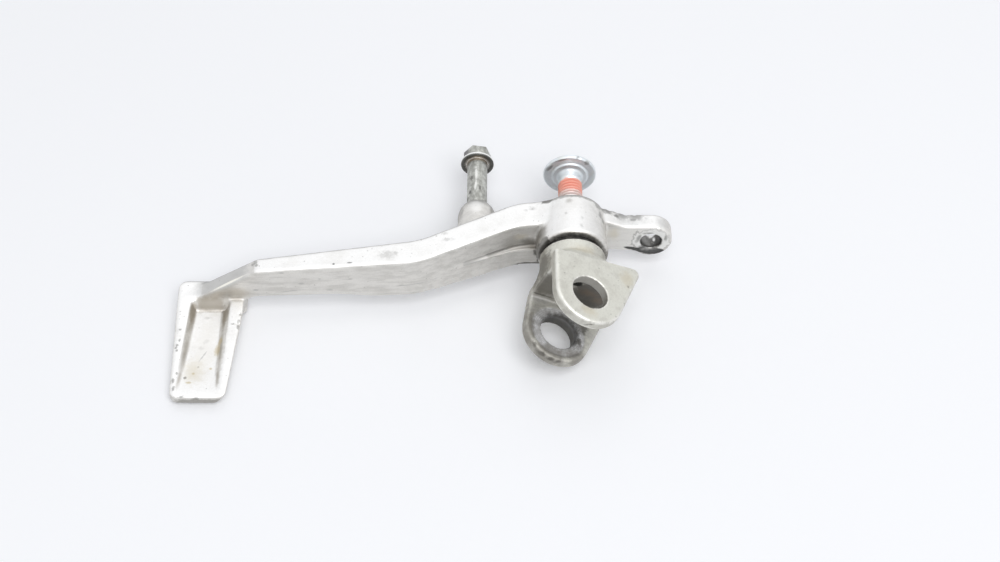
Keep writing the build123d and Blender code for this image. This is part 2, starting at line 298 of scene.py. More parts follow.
@dataclass(frozen=True)
class StainAndLight:
    """Marks of one colour: some are dirt and wear, some painted shade, some painted highlights."""

    colour: Triple
    strength: float
    ragged: float
    marks: tuple[Mark, ...]
    soft: float = 0.6
    gloss: float = 0.0

    def drawn(self, graph: Graph, wobble: Socket) -> Socket:
        """Mask of all the marks together, drawn by the material.

        Args:
            graph: Material that the marks are drawn in.
            wobble: Noise that makes their outlines ragged.

        Returns:
            The mask, up to the marks' strength.
        """
        near: Optional[Socket] = None
        for mark in self.marks:
            away = graph.length(graph.local(mark.place, mark.radii, mark.turn))
            near = away if near is None else graph.math("MINIMUM", near, away)
        return self.spread(graph, near, wobble)

    def painted(self, graph: Graph, wobble: Socket, layer: str) -> Socket:
        """Mask of all the marks together, from the attribute that they were painted in."""
        return self.spread(graph, graph.less(1.0, graph.attribute(layer)), wobble)

    def spread(self, graph: Graph, away: Socket, wobble: Socket) -> Socket:
        """Ragged mask, up to the marks' strength, from the distance to the marks' middles."""
        shift = graph.times(graph.less(wobble, 0.5), self.ragged)
        return graph.span(graph.plus(away, shift), 1.0 - self.soft, 1.0, self.strength, 0.0)

    def paint(self, shape: bmesh.types.BMesh, tree: KDTree, layer: str) -> None:
        """Writes the nearness of the marks to an attribute: 1 in a middle, 0 on an outline, -1 far away.

        Args:
            shape: Mesh that is painted.
            tree: Its vertices, by index.
            layer: Name of the attribute.
        """
        values = shape.verts.layers.float.new(layer)
        shape.verts.ensure_lookup_table()
        for vert in shape.verts:
            vert[values] = -1.0
        for mark in self.marks:
            reach = max(mark.radii) if mark.form is Form.ROUND else Vector(mark.radii).length
            for place, index, _ in tree.find_range(Vector(mark.place) * MM, PAINT_REACH * reach * MM):
                vert = shape.verts[index]
                vert[values] = max(vert[values], 1.0 - mark.away(place / MM))


@dataclass(frozen=True)
class CastFinish:
    """Bare cast aluminium: grainy skin, pale on top from worn metal and a painted highlight, worn bright on
    its edges, with dirt and painted shade in its corners, and with dirt and painted shade on faces turned
    back where it has a back weight.
    """

    name: str
    skin: Triple
    shade: Triple
    # Pale tone of faces turned up: worn metal with a painted highlight.
    top_wear_and_light: Triple
    worn: Triple
    # Brown of closed-in corners and recesses: dirt and painted shade.
    grime_and_shade: Triple
    grime_and_shade_reach: float
    grime_and_shade_weight: float
    roughness: float
    stains_and_light: tuple[StainAndLight, ...]
    streak_scale: Triple = (90.0, 420.0, 420.0)
    speck: Triple = (0.22, 0.21, 0.19)
    speck_share: float = 0.3
    edge_weight: float = 0.3
    # Darker tone of faces turned back: dirt and painted shade.
    back: Triple = (0.36, 0.355, 0.34)
    back_weight: float = 0.0

    def material(self) -> bpy.types.Material:
        """Builds the material.

        Returns:
            The material.
        """
        graph = Graph(self.name)
        cloud = graph.noise(95.0, 5.0, 0.6)
        grain = graph.noise(1500.0, 3.0, 0.6)
        streak = graph.noise(1.0, 5.0, 0.62, graph.stretched(self.streak_scale))
        colour = graph.mix(graph.span(streak, 0.34, 0.62), self.shade, self.skin)
        # Worn metal and painted highlight: faces turned up take the pale tone, patchy by the cloud noise.
        top = graph.times(graph.attribute("top_wear_and_light"), graph.span(cloud, 0.28, 0.58, 0.72, 1.0))
        colour = graph.mix(top, colour, self.top_wear_and_light)
        if self.back_weight:
            # Dirt and painted shade: faces turned back take the darker back tone.
            colour = graph.mix(graph.times(graph.attribute("back"), self.back_weight), colour, self.back)
        colour = graph.mix(graph.span(grain, 0.3, 0.75, 0.0, 0.15), colour, self.shade, "MULTIPLY")
        colour, rough, relief = self.machined(graph, colour)
        edge = graph.times(self.wear(graph), graph.span(streak, 0.35, 0.65, 0.25, 1.0))
        colour = graph.mix(graph.times(edge, self.edge_weight), colour, self.worn)
        # Dirt and painted shade: brown where ambient occlusion finds corners and recesses.
        corner = graph.span(graph.openness(self.grime_and_shade_reach), 0.3, 0.9, self.grime_and_shade_weight, 0.0)
        colour = graph.mix(graph.times(corner, graph.span(cloud, 0.25, 0.6, 0.4, 1.0)), colour, self.grime_and_shade)
        pits = graph.specks(520.0, 0.22, self.speck_share)
        colour = graph.mix(graph.times(pits, graph.span(cloud, 0.4, 0.6, 0.1, 0.5)), colour, self.speck)
        wobble = graph.noise(520.0, 4.0, 0.65)
        rough = graph.plus(rough, graph.span(cloud, 0.3, 0.7, 0.06, -0.06))
        rough = graph.less(rough, graph.times(edge, 0.1))
        for index, stain_and_light in enumerate(self.stains_and_light):
            mask = stain_and_light.painted(graph, wobble, f"stain_and_light_layer_{index}")
            colour = graph.mix(mask, colour, stain_and_light.colour)
            if stain_and_light.gloss:
                rough = graph.less(rough, graph.times(mask, stain_and_light.gloss))
        relief = graph.bump(grain, 0.05, 0.5, relief)
        relief = graph.bump(graph.noise(420.0, 3.0), 0.09, 0.35, relief)
        return graph.close(Base_Color=colour, Metallic=0.9, Roughness=rough, Normal=relief)

    def machined(self, graph: Graph, colour: Socket) -> tuple[Socket, Value, Optional[Socket]]:
        """Colour, roughness and relief with the cut faces of the casting, none on a plain one."""
        return colour, self.roughness, None

    def wear(self, graph: Graph) -> Socket:
        """Where the casting is worn bright, on all its edges."""
        return graph.attribute("edge")


@dataclass(frozen=True, kw_only=True)
class FacedFinish(CastFinish):
    """Casting with faced rounds about a pin hole: ring marks of the cutter, with one dirty half below."""

    centre: Triple
    turn: Triple
    radius: float
    # Colour of the faced round on the lower ear: its own machined brightness, lifted further as painted light
    # where the upper ear shades it.
    face: Triple
    dirt: Triple
    face_low: float = -12.4
    face_high: float = -10.2
    face_soft: float = 0.3
    dirt_top: float = -4.0
    dirt_soft: float = 2.0
    clean_run: float = 8.0

    def machined(self, graph: Graph, colour: Socket) -> tuple[Socket, Value, Optional[Socket]]:
        """Dirty lower half and the faced round with its ring marks.

        Args:
            graph: Material in the making.
            colour: Colour of the cast skin.

        Returns:
            Colour, roughness and relief with the faced round.
        """
        inside = graph.local(self.centre, (self.radius,) * 3, self.turn)
        x, y, z = graph.parts(inside)
        blotch = graph.span(graph.noise(300.0, 6.0, 0.68), 0.36, 0.6)
        patches = graph.span(graph.noise(190.0, 7.0, 0.72), 0.44, 0.66, 0.0, 0.5)
        colour = graph.mix(patches, colour, self.shade)
        full_dirt = (self.dirt_top - self.dirt_soft) / self.radius
        below = graph.span(z, full_dirt, self.dirt_top / self.radius, 1.0, 0.0)
        dirty = graph.times(below, graph.plus(graph.times(blotch, 0.45), 0.05))
        colour = graph.mix(dirty, colour, self.dirt)
        across = graph.plus(graph.times(x, x), graph.times(y, y))
        low = graph.span(z, (self.face_low - self.face_soft) / self.radius, self.face_low / self.radius)
        face_end = (self.face_high + self.face_soft) / self.radius
        high = graph.span(z, self.face_high / self.radius, face_end, 1.0, 0.0)
        mask = graph.times(graph.span(across, 0.9, 1.05, 1.0, 0.0), graph.times(low, high))
        ring_inputs = {"Vector": inside, "Scale": 5.0, "Distortion": 3.0, "Detail": 3.0}
        wave = graph.add("ShaderNodeTexWave", ring_inputs, wave_type="RINGS", rings_direction="Z")
        rings = wave.outputs["Fac"]
        # The faced round's tone carries painted light as well as its machined brightness.
        tone = graph.mix(graph.span(rings, 0.2, 0.9, 0.0, 0.4), self.face, self.dirt)
        tone = graph.mix(graph.times(blotch, 0.6), tone, self.dirt)
        colour = graph.mix(graph.times(mask, 0.85), colour, tone)
        rough = graph.plus(self.roughness, graph.times(below, 0.14))
        relief = graph.bump(graph.times(rings, mask), 0.03, 0.5)
        return colour, rough, relief

    def wear(self, graph: Graph) -> Socket:
        """Where the casting is worn bright, on the edges above the dirt.

        Args:
            graph: Material in the making.

        Returns:
            The mask.
        """
        z = graph.parts(graph.local(self.centre, (self.radius,) * 3, self.turn))[2]
        all_clean = (self.dirt_top + self.clean_run) / self.radius
        clean = graph.span(z, self.dirt_top / self.radius, all_clean, 0.12, 1.0)
        return graph.times(graph.attribute("edge"), clean)


@dataclass(frozen=True)
class ZincFinish:
    """Bright zinc plate with handling marks and painted shade on the upper side just below its flange, and
    old thread-locking paint on the thread.
    """

    name: str
    plate: Triple = (0.79, 0.83, 0.855)
    paint: Triple = (0.96, 0.455, 0.36)
    thin_paint: Triple = (0.92, 0.70, 0.64)
    paint_top: float = 16.6
    paint_fade: float = 10.4
    paint_end: float = 4.5
    thread_r: float = 5.3
    stains_and_light: tuple[StainAndLight, ...] = ()

    def material(self) -> bpy.types.Material:
        """Builds the material.

        Returns:
            The material.
        """
        graph = Graph(self.name)
        x, y, z = graph.parts(graph.place)
        around = graph.math("SQRT", graph.plus(graph.times(x, x), graph.times(z, z)))
        cloud = graph.noise(160.0, 5.0, 0.6)
        fine = graph.noise(900.0, 3.0, 0.6)
        dull = tuple(0.8 * c for c in self.plate)
        colour = graph.mix(graph.span(cloud, 0.35, 0.7, 0.0, 0.5), self.plate, dull)
        hue = graph.span(graph.noise(240.0, 2.0), 0.45, 0.7, 0.0, 0.22)
        colour = graph.mix(hue, colour, (0.72, 0.70, 0.58))
        wobble = graph.noise(650.0, 4.0, 0.65)
        for stain_and_light in self.stains_and_light:
            colour = graph.mix(stain_and_light.drawn(graph, wobble), colour, stain_and_light.colour)
        on_thread = graph.span(around, self.thread_r * MM, (self.thread_r + 0.3) * MM, 1.0, 0.0)
        rise = graph.plus(y, graph.times(graph.less(wobble, 0.5), 3.0 * MM))
        full = graph.span(rise, (self.paint_fade - 1.5) * MM, (self.paint_fade + 1.5) * MM)
        thin = graph.span(rise, self.paint_end * MM, (self.paint_fade - 1.0) * MM, 0.0, 0.75)
        below_head = graph.span(rise, (self.paint_top - 0.7) * MM, (self.paint_top + 0.7) * MM, 1.0, 0.0)
        coat = graph.times(on_thread, below_head)
        colour = graph.mix(graph.times(coat, thin), colour, self.thin_paint)
        painted = graph.times(coat, full)
        colour = graph.mix(painted, colour, self.paint)
        cover = graph.times(coat, graph.math("MAXIMUM", full, graph.times(thin, 0.7)))
        metal = graph.less(1.0, cover)
        rough = graph.plus(graph.span(cloud, 0.3, 0.7, 0.4, 0.52), graph.times(cover, 0.15))
        relief = graph.bump(fine, 0.03, 0.4)
        return graph.close(Base_Color=colour, Metallic=metal, Roughness=rough, Normal=relief)


@dataclass(frozen=True)
class DullSteelFinish:
    """Dull plated steel, streaked along its length, with old greasy dirt and painted shade in its corners
    under the flange.
    """

    name: str
    pale: Triple = (0.555, 0.56, 0.525)
    dark: Triple = (0.34, 0.34, 0.315)
    grease_and_shade: Triple = (0.20, 0.155, 0.115)
    stains_and_light: tuple[StainAndLight, ...] = ()

    def material(self) -> bpy.types.Material:
        """Builds the material.

        Returns:
            The material.
        """
        graph = Graph(self.name)
        streak = graph.noise(1.0, 5.0, 0.6, graph.stretched((760.0, 430.0, 760.0)))
        fine = graph.noise(1300.0, 3.0, 0.6)
        blotch = graph.noise(330.0, 5.0, 0.62)
        colour = graph.mix(graph.span(streak, 0.36, 0.66), self.dark, self.pale)
        colour = graph.mix(graph.span(blotch, 0.45, 0.66, 0.0, 0.5), colour, self.dark)
        wobble = graph.noise(700.0, 4.0, 0.65)
        for stain_and_light in self.stains_and_light:
            colour = graph.mix(stain_and_light.drawn(graph, wobble), colour, stain_and_light.colour)
        # Greasy dirt and painted shade: brown where the bolt is closed in, under its flange.
        corner = graph.span(graph.openness(2.0), 0.35, 0.85, 0.8, 0.0)
        colour = graph.mix(corner, colour, self.grease_and_shade)
        rough = graph.span(streak, 0.3, 0.7, 0.55, 0.36)
        relief = graph.bump(fine, 0.03, 0.5, graph.bump(blotch, 0.08, 0.4))
        return graph.close(Base_Color=colour, Metallic=0.92, Roughness=rough, Normal=relief)


@dataclass(frozen=True)
class RubberFinish:
    """Black seal rubber with a bloom of dust."""

    name: str
    black: Triple = (0.022, 0.021, 0.020)
    dust: Triple = (0.10, 0.094, 0.085)

    def material(self) -> bpy.types.Material:
        """Builds the material.

        Returns:
            The material.
        """
        graph = Graph(self.name)
        bloom = graph.span(graph.noise(380.0, 5.0, 0.65), 0.42, 0.7, 0.0, 0.8)
        fine = graph.noise(1700.0, 2.0)
        colour = graph.mix(bloom, self.black, self.dust)
        rough = graph.span(fine, 0.3, 0.7, 0.6, 0.8)
        return graph.close(Base_Color=colour, Roughness=rough, Normal=graph.bump(fine, 0.04, 0.4))


@dataclass(frozen=True)
class BronzeFinish:
    """Plain bearing bronze with turning marks."""

    name: str
    bronze: Triple = (0.55, 0.38, 0.19)
    dark: Triple = (0.30, 0.20, 0.10)

    def material(self) -> bpy.types.Material:
        """Builds the material.

        Returns:
            The material.
        """
        graph = Graph(self.name)
        turning = graph.noise(1.0, 3.0, 0.5, graph.stretched((60.0, 2400.0, 60.0)))
        cloud = graph.noise(210.0, 4.0)
        colour = graph.mix(graph.span(cloud, 0.4, 0.7, 0.0, 0.6), self.bronze, self.dark)
        rough = graph.span(turning, 0.3, 0.7, 0.28, 0.48)
        relief = graph.bump(turning, 0.02, 0.4)
        return graph.close(Base_Color=colour, Metallic=1.0, Roughness=rough, Normal=relief)


@dataclass(frozen=True)
class FloorFinish:
    """Plain pale table top, cool white."""

    name: str
    white: Triple = (0.92, 0.93, 0.955)
    lift: float = 0.06

    def material(self) -> bpy.types.Material:
        """Builds the material.

        Returns:
            The material.
        """
        graph = Graph(self.name)
        cloud = graph.span(graph.noise(2.2, 3.0), 0.3, 0.7, 0.0, 0.5)
        colour = graph.mix(cloud, self.white, tuple(0.985 * c for c in self.white))
        path = graph.add("ShaderNodeLightPath")
        seen = graph.math("MAXIMUM", path.outputs["Is Camera Ray"], path.outputs["Is Glossy Ray"])
        seen = graph.math("MAXIMUM", seen, path.outputs["Is Transmission Ray"])
        return graph.close(
            Base_Color=colour, Roughness=0.4, Specular_IOR_Level=0.3, Emission_Color=(1.0, 1.0, 1.0),
            Emission_Strength=graph.times(seen, self.lift),
        )


@dataclass(frozen=True)
class Fill:
    """A web between faces of a casting, as the hull of its corners in millimetres."""

    corners: tuple[Triple, ...]


@dataclass(frozen=True)
class Dent:
    """A nick or chip pressed into a surface, in millimetres."""

    place: Triple
    radius: float
    depth: float


def clamped(value: float) -> float:
    """A value held between 0 and 1."""
    return min(max(value, 0.0), 1.0)


def settle(
    name: str, shape: bmesh.types.BMesh, finish: bpy.types.Material, body: Body, slot: Slot, *nodes: str
) -> bpy.types.Object:
    """Turns a finished mesh into a piece of the part.

    Args:
        name: Name of the piece.
        shape: Its mesh, which is freed.
        finish: Its material.
        body: Body that it moves with.
        slot: Finish slot of the record; not used.
        *nodes: Solids that it stands for.

    Returns:
        The piece.
    """
    mesh = bpy.data.meshes.new(name)
    shape.to_mesh(mesh)
    shape.free()
    mesh.materials.clear()
    mesh.materials.append(finish)
    for polygon in mesh.polygons:
        polygon.use_smooth = True
    piece = bpy.data.objects.new(name, mesh)
    bpy.context.scene.collection.objects.link(piece)
    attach(piece, body.value)
    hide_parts(*nodes)
    LOG.info("%s: %d faces on %s", name, len(mesh.polygons), body.value)
    return piece


def turned(
    profile: Outline, axis: Pair = (0.0, 0.0), steps: int = 96, ring: bool = False
) -> bmesh.types.BMesh:
    """Spins an outline about a line along Y.

    Args:
        profile: Points as radius and depth along Y, in millimetres.
        axis: X and Z of the line, in millimetres.
        steps: Flats around.
        ring: Whether the outline closes on itself.

    Returns:
        The turned mesh.
    """
    shape = bmesh.new()
    points = [shape.verts.new(((axis[0] + r) * MM, y * MM, axis[1] * MM)) for r, y in profile]
    edges = [shape.edges.new(pair) for pair in zip(points, points[1:])]
    if ring:
        edges.append(shape.edges.new((points[-1], points[0])))
    centre = Vector((axis[0] * MM, 0, axis[1] * MM))
    bmesh.ops.spin(
        shape, geom=points + edges, cent=centre, axis=(0, 1, 0), angle=math.tau, steps=steps, use_merge=True
    )
    bmesh.ops.remove_doubles(shape, verts=shape.verts, dist=SPIN_WELD * MM)
    bmesh.ops.recalc_face_normals(shape, faces=shape.faces)
    return shape


def bevel(
    shape: bmesh.types.BMesh, edges: Sequence[bmesh.types.BMEdge], width: float, segments: int = 2
) -> None:
    """Rounds edges of a mesh, to a width in millimetres."""
    bmesh.ops.bevel(
        shape, geom=edges, offset=width * MM, offset_type="OFFSET", affect="EDGES", segments=segments,
        profile=0.5, clamp_overlap=True, material=-1,
    )


def soften(shape: bmesh.types.BMesh, width: float) -> None:
    """Rounds the sharp edges of a mesh, to a width in millimetres."""
    bevel(shape, [e for e in shape.edges if len(e.link_faces) == 2 and e.calc_face_angle(0.0) > SHARP], width)


def relax(shape: bmesh.types.BMesh, verts: Sequence[bmesh.types.BMVert]) -> None:
    """Moves vertices half way to the middle of their neighbours."""
    bmesh.ops.smooth_vert(shape, verts=verts, factor=0.5, use_axis_x=True, use_axis_y=True, use_axis_z=True)


def vertex_tree(shape: bmesh.types.BMesh) -> KDTree:
    """Search tree of a mesh's vertices.

    Args:
        shape: The mesh.

    Returns:
        The tree, which gives the vertices by index.
    """
    shape.verts.ensure_lookup_table()
    tree = KDTree(len(shape.verts))
    for index, vert in enumerate(shape.verts):
        tree.insert(vert.co, index)
    tree.balance()
    return tree


def press(shape: bmesh.types.BMesh, dents: Sequence[Dent]) -> None:
    """Presses nicks and chips into a mesh.

    Args:
        shape: The mesh.
        dents: Where, how wide and how deep.
    """
    if not dents:
        return
    shape.normal_update()
    tree = vertex_tree(shape)
    verts = list(shape.verts)
    moves: dict[int, Vector] = {}
    for dent in dents:
        for _, index, away in tree.find_range(Vector(dent.place) * MM, dent.radius * MM):
            share = 1.0 - (away / (dent.radius * MM)) ** 2
            push = dent.depth * MM * share * share
            moves[index] = moves.get(index, Vector()) - verts[index].normal * push
    for index, move in moves.items():
        verts[index].co += move


@dataclass
class CastPiece:
    """A casting: its solid with a rounded, slightly uneven skin, nicks and attributes for its finish."""

    node: str
    body: Body
    slot: Slot
    finish: CastFinish
    dents: tuple[Dent, ...] = ()
    fills: tuple[Fill, ...] = ()
    voxel: float = 0.5
    passes: int = 3
    sway: float = 0.07
    coarse_wave: Pair = (0.65, 85.0)
    fine_wave: Pair = (0.35, 260.0)
    edge_low: float = 0.12
    edge_high: float = 0.55
    top_low: float = 0.45
    top_high: float = 0.85
    back_low: float = 0.1
    back_high: float = 0.45

    def build(self, source: bpy.types.Object) -> bpy.types.Object:
        """Makes the piece.

        Args:
            source: Object of the solid that it stands for.

        Returns:
            The piece.
        """
        shape = self.skin(source)
        self.draft(shape)
        self.roughen(shape)
        press(shape, self.dents)
        self.find_edges(shape)
        tree = vertex_tree(shape)
        for index, stain_and_light in enumerate(self.finish.stains_and_light):
            stain_and_light.paint(shape, tree, f"stain_and_light_layer_{index}")
        return settle(f"{self.node}_casting", shape, self.finish.material(), self.body, self.slot, self.node)

    def skin(self, source: bpy.types.Object) -> bmesh.types.BMesh:
        """Even mesh over the solid with its edges rounded.

        Args:
            source: Object of the solid.

        Returns:
            The mesh.
        """
        shape = bmesh.new()
        shape.from_mesh(source.data)
        bmesh.ops.remove_doubles(shape, verts=shape.verts, dist=COPY_WELD * MM)
        for fill in self.fills:
            corners = [shape.verts.new(Vector(corner) * MM) for corner in fill.corners]
            bmesh.ops.convex_hull(shape, input=corners)
        mesh = bpy.data.meshes.new(f"{self.node}_core")
        shape.to_mesh(mesh)
        shape.free()
        core = bpy.data.objects.new(f"{self.node}_core", mesh)
        bpy.context.scene.collection.objects.link(core)
        remesh = core.modifiers.new("skin", "REMESH")
        remesh.mode = "VOXEL"
        remesh.voxel_size = self.voxel * MM
        graph = bpy.context.evaluated_depsgraph_get()
        even = bpy.data.meshes.new_from_object(core.evaluated_get(graph))
        bpy.data.objects.remove(core)
        shape = bmesh.new()
        shape.from_mesh(even)
        for _ in range(self.passes):
            relax(shape, shape.verts)
        shape.normal_update()
        return shape

    def draft(self, shape: bmesh.types.BMesh) -> None:
        """Leans walls of the casting, none on a plain one."""

    def roughen(self, shape: bmesh.types.BMesh) -> None:
        """Gives the skin the slight waves of a casting, inwards only.

        Args:
            shape: The mesh.
        """
        (coarse, coarse_scale), (fine, fine_scale) = self.coarse_wave, self.fine_wave
        for vert in shape.verts:
            wave = coarse * noise.noise(vert.co * coarse_scale) + fine * noise.noise(vert.co * fine_scale)
            vert.co += vert.normal * (0.5 * (wave - 1.0) * self.sway * MM)
        shape.normal_update()

    def find_edges(self, shape: bmesh.types.BMesh) -> None:
        """Writes how sharply the skin bulges, and how far it faces up and back, for the finish.

        Args:
            shape: The mesh.
        """
        layer = shape.verts.layers.float.new("edge")
        top = shape.verts.layers.float.new("top_wear_and_light")
        back = shape.verts.layers.float.new("back")
        bulge: dict[bmesh.types.BMVert, float] = {}
        for vert in shape.verts:
            total = 0.0
            for edge in vert.link_edges:
                step = edge.other_vert(vert).co - vert.co
                total -= 2.0 * vert.normal.dot(step) / max(step.length_squared, 1e-12)
            bulge[vert] = total * MM / max(len(vert.link_edges), 1)
        for vert in shape.verts:
            near = [bulge[edge.other_vert(vert)] for edge in vert.link_edges]
            mean = (bulge[vert] + sum(near)) / (1 + len(near))
            share = (mean - self.edge_low) / (self.edge_high - self.edge_low)
            vert[layer] = clamped(share)
            # The up share sets top wear and a painted top highlight; the back share sets dirt and painted
            # shade on faces turned back.
            up = clamped((vert.normal.z - self.top_low) / (self.top_high - self.top_low))
            vert[top] = up * self.bared_and_lit(vert)
            vert[back] = clamped((vert.normal.y - self.back_low) / (self.back_high - self.back_low))

    def bared_and_lit(self, vert: bmesh.types.BMVert) -> float:
        """Share of the top wear and painted top highlight that reaches a vertex, all of it on a plain
        casting.
        """
        return 1.0


@dataclass
class PedalPiece(CastPiece):
    """The pedal's casting, with drawn walls round the hollow of its foot pad."""

    wall_root: Pair = (-130.6, -33.4)
    wall_tip: Pair = (-135.4, -77.0)
    wall_margin: float = 2.0
    wall_reach: float = 5.0
    tread_z: float = -22.0
    draw: float = 2.4
    draw_run: float = 1.5
    flare_root: float = 0.6
    flare_tip: float = 1.1
    flare_run: float = 5.0
    rim_root: Pair = (-36.0, -13.3)
    rim_tip: Pair = (-78.0, -17.9)
    floor_z: float = -17.6
    floor_slack: float = 0.8
    rim_slack: float = 0.6
    hollow_y: Pair = (-77.6, -36.2)
    left_root: float = -150.7
    left_tip: float = -153.9
    left_reach: float = 3.0
    thin_tip: float = 1.4
    thin_run: float = 0.12
    right_x: float = -138.0
    right_reach: float = 4.0
    right_run: float = 3.7
    lean_root: float = 1.7
    lean_tip: float = 0.9
    sink: float = 0.9
    sink_root_run: float = 0.4
    sink_tip_run: float = 0.32
    shelf_x: Pair = (-150.6, -137.6)
    shelf_y: Pair = (-36.4, -33.3)
    shelf_top: float = -12.0
    shelf_foot: float = -17.2
    shelf_drop: float = 0.6
    slope_x: Pair = (-150.0, -125.5)
    slope_normal: float = -0.35
    slope_share: float = 0.3
    ledge_z: Pair = (-3.0, 0.5)
    spigot_x: Pair = (-48.0, -29.0)
    spigot_y: float = -16.0
    spigot_z: Pair = (3.2, 5.2)
    low_share: float = 0.15
    eye_x: float = 0.0
    eye_normal: Pair = (0.15, 0.75)
    eye_fade: float = 0.5

    def draft(self, shape: bmesh.types.BMesh) -> None:
        """Leans the walls of the pad and runs the shelf behind its hollow down to the floor.

        Args:
            shape: The mesh.
        """
        for vert in shape.verts:
            place = vert.co / MM
            if place.x > self.wall_root[0] + self.wall_margin or place.y > self.shelf_y[1]:
                continue
            self.lean_outside(vert, place)
            self.lean_hollow(vert, place)
            if self.on_shelf(*place):
                self.sink_shelf(vert, place)
        for _ in range(self.passes):
            relax(shape, [v for v in shape.verts if self.in_hollow(*(v.co / MM))])
        shape.normal_update()

    def rim_z(self, y: float) -> float:
        """Height of the pad's rim at a place along it."""
        (y0, z0), (y1, z1) = self.rim_root, self.rim_tip
        return z0 + (z1 - z0) * (y - y0) / (y1 - y0)

    def lean_outside(self, vert: bmesh.types.BMVert, place: Vector) -> None:
        """Leans one vertex of the pad's outer wall, out at the rim and in at the tread.

        Args:
            vert: The vertex.
            place: Where it was, in millimetres.
        """
        x, y, z = place
        (root_x, root_y), (tip_x, tip_y) = self.wall_root, self.wall_tip
        along = (y - root_y) / (tip_y - root_y)
        inside = root_x + (tip_x - root_x) * along - x
        if y > root_y or not -1.0 < inside < self.wall_reach:
            return
        rim = self.rim_z(y)
        near = 1.0 - max(inside, 0.0) / self.wall_reach
        down = clamped((rim - z) / (rim - self.tread_z))
        flare = self.flare_root + (self.flare_tip - self.flare_root) * along
        flare *= min((root_y - y) / self.flare_run, 1.0)
        draw = self.draw * min((root_y - y) / self.draw_run, 1.0)
        vert.co.x += MM * near * (flare - (draw + flare) * down)

    def lean_hollow(self, vert: bmesh.types.BMVert, place: Vector) -> None:
        """Leans one vertex of the hollow's walls, or sinks one of its floor, least at both ends.

        Args:
            vert: The vertex.
            place: Where it was, in millimetres.
        """
        x, y, z = place
        tip, root = self.hollow_y
        rim, right = self.rim_z(y), self.right_x
        if not tip < y < root or z < self.floor_z - self.floor_slack or z > rim + self.rim_slack:
            return
        along = (root - y) / (root - tip)
        left = self.left_root + (self.left_tip - self.left_root) * along
        down = clamped((rim - z) / max(rim - self.floor_z, self.floor_slack))
        if left - self.left_reach < x < left + 0.6:
            near = min((x - left + self.left_reach) / self.left_reach, 1.0)
            thin = self.thin_tip * along * min((1.0 - along) / self.thin_run, 1.0)
            vert.co.x -= MM * thin * near * (1.0 - down)
        if right - self.right_reach < x < right + 0.8:
            near = min((x - right + self.right_reach) / self.right_run, 1.0)
            vert.co.x -= MM * (self.lean_root + (self.lean_tip - self.lean_root) * along) * near * down
        share = clamped(min(x - left + 0.2, right + 0.2 - x))
        share *= min(along / self.sink_root_run, 1.0) * min((1.0 - along) / self.sink_tip_run, 1.0)
        vert.co.z -= MM * self.sink * share

    def in_hollow(self, x: float, y: float, z: float) -> bool:
        """Whether a place in millimetres is in the hollow or on the shelf behind it."""
        inside = self.left_tip - 0.5 < x < self.right_x - 0.2 and self.hollow_y[0] < y < self.hollow_y[1]
        return inside and self.floor_z - 1.4 < z < self.rim_z(y) - 0.5 or self.on_shelf(x, y, z)

    def on_shelf(self, x: float, y: float, z: float) -> bool:
        """Whether a place in millimetres is on the shelf behind the hollow."""
        (x0, x1), (y0, y1) = self.shelf_x, self.shelf_y
        return x0 < x < x1 and y0 < y < y1 and self.shelf_foot < z < self.shelf_top

    def sink_shelf(self, vert: bmesh.types.BMVert, place: Vector) -> None:
        """Sinks one vertex of the shelf on to a slope.

        Args:
            vert: The vertex.
            place: Where it was, in millimetres.
        """
        share = (self.shelf_y[1] - place.y) / (self.shelf_y[1] - self.shelf_y[0])
        slope = self.shelf_top - self.shelf_drop + (self.shelf_foot - self.shelf_top) * share
        vert.co.z = min(place.z, slope) * MM

    def bared_and_lit(self, vert: bmesh.types.BMVert) -> float:
        """Share of the top wear and painted top highlight that reaches a vertex: little on the slope, the
        spigot and the low ledge.

        Args:
            vert: The vertex.

        Returns:
            The share.
        """
        x, y, z = vert.co / MM
        if x < self.slope_x[1]:
            return self.slope_share if vert.normal.x < self.slope_normal and x > self.slope_x[0] else 1.0
        on_spigot = self.spigot_x[0] < x < self.spigot_x[1] and y > self.spigot_y
        low, high = self.spigot_z if on_spigot else self.ledge_z
        share = self.low_share + (1.0 - self.low_share) * clamped((z - low) / (high - low))
        if x > self.eye_x:
            flat, steep = self.eye_normal
            share *= 1.0 - self.eye_fade * clamped((vert.normal.x - flat) / (steep - flat))
        return share


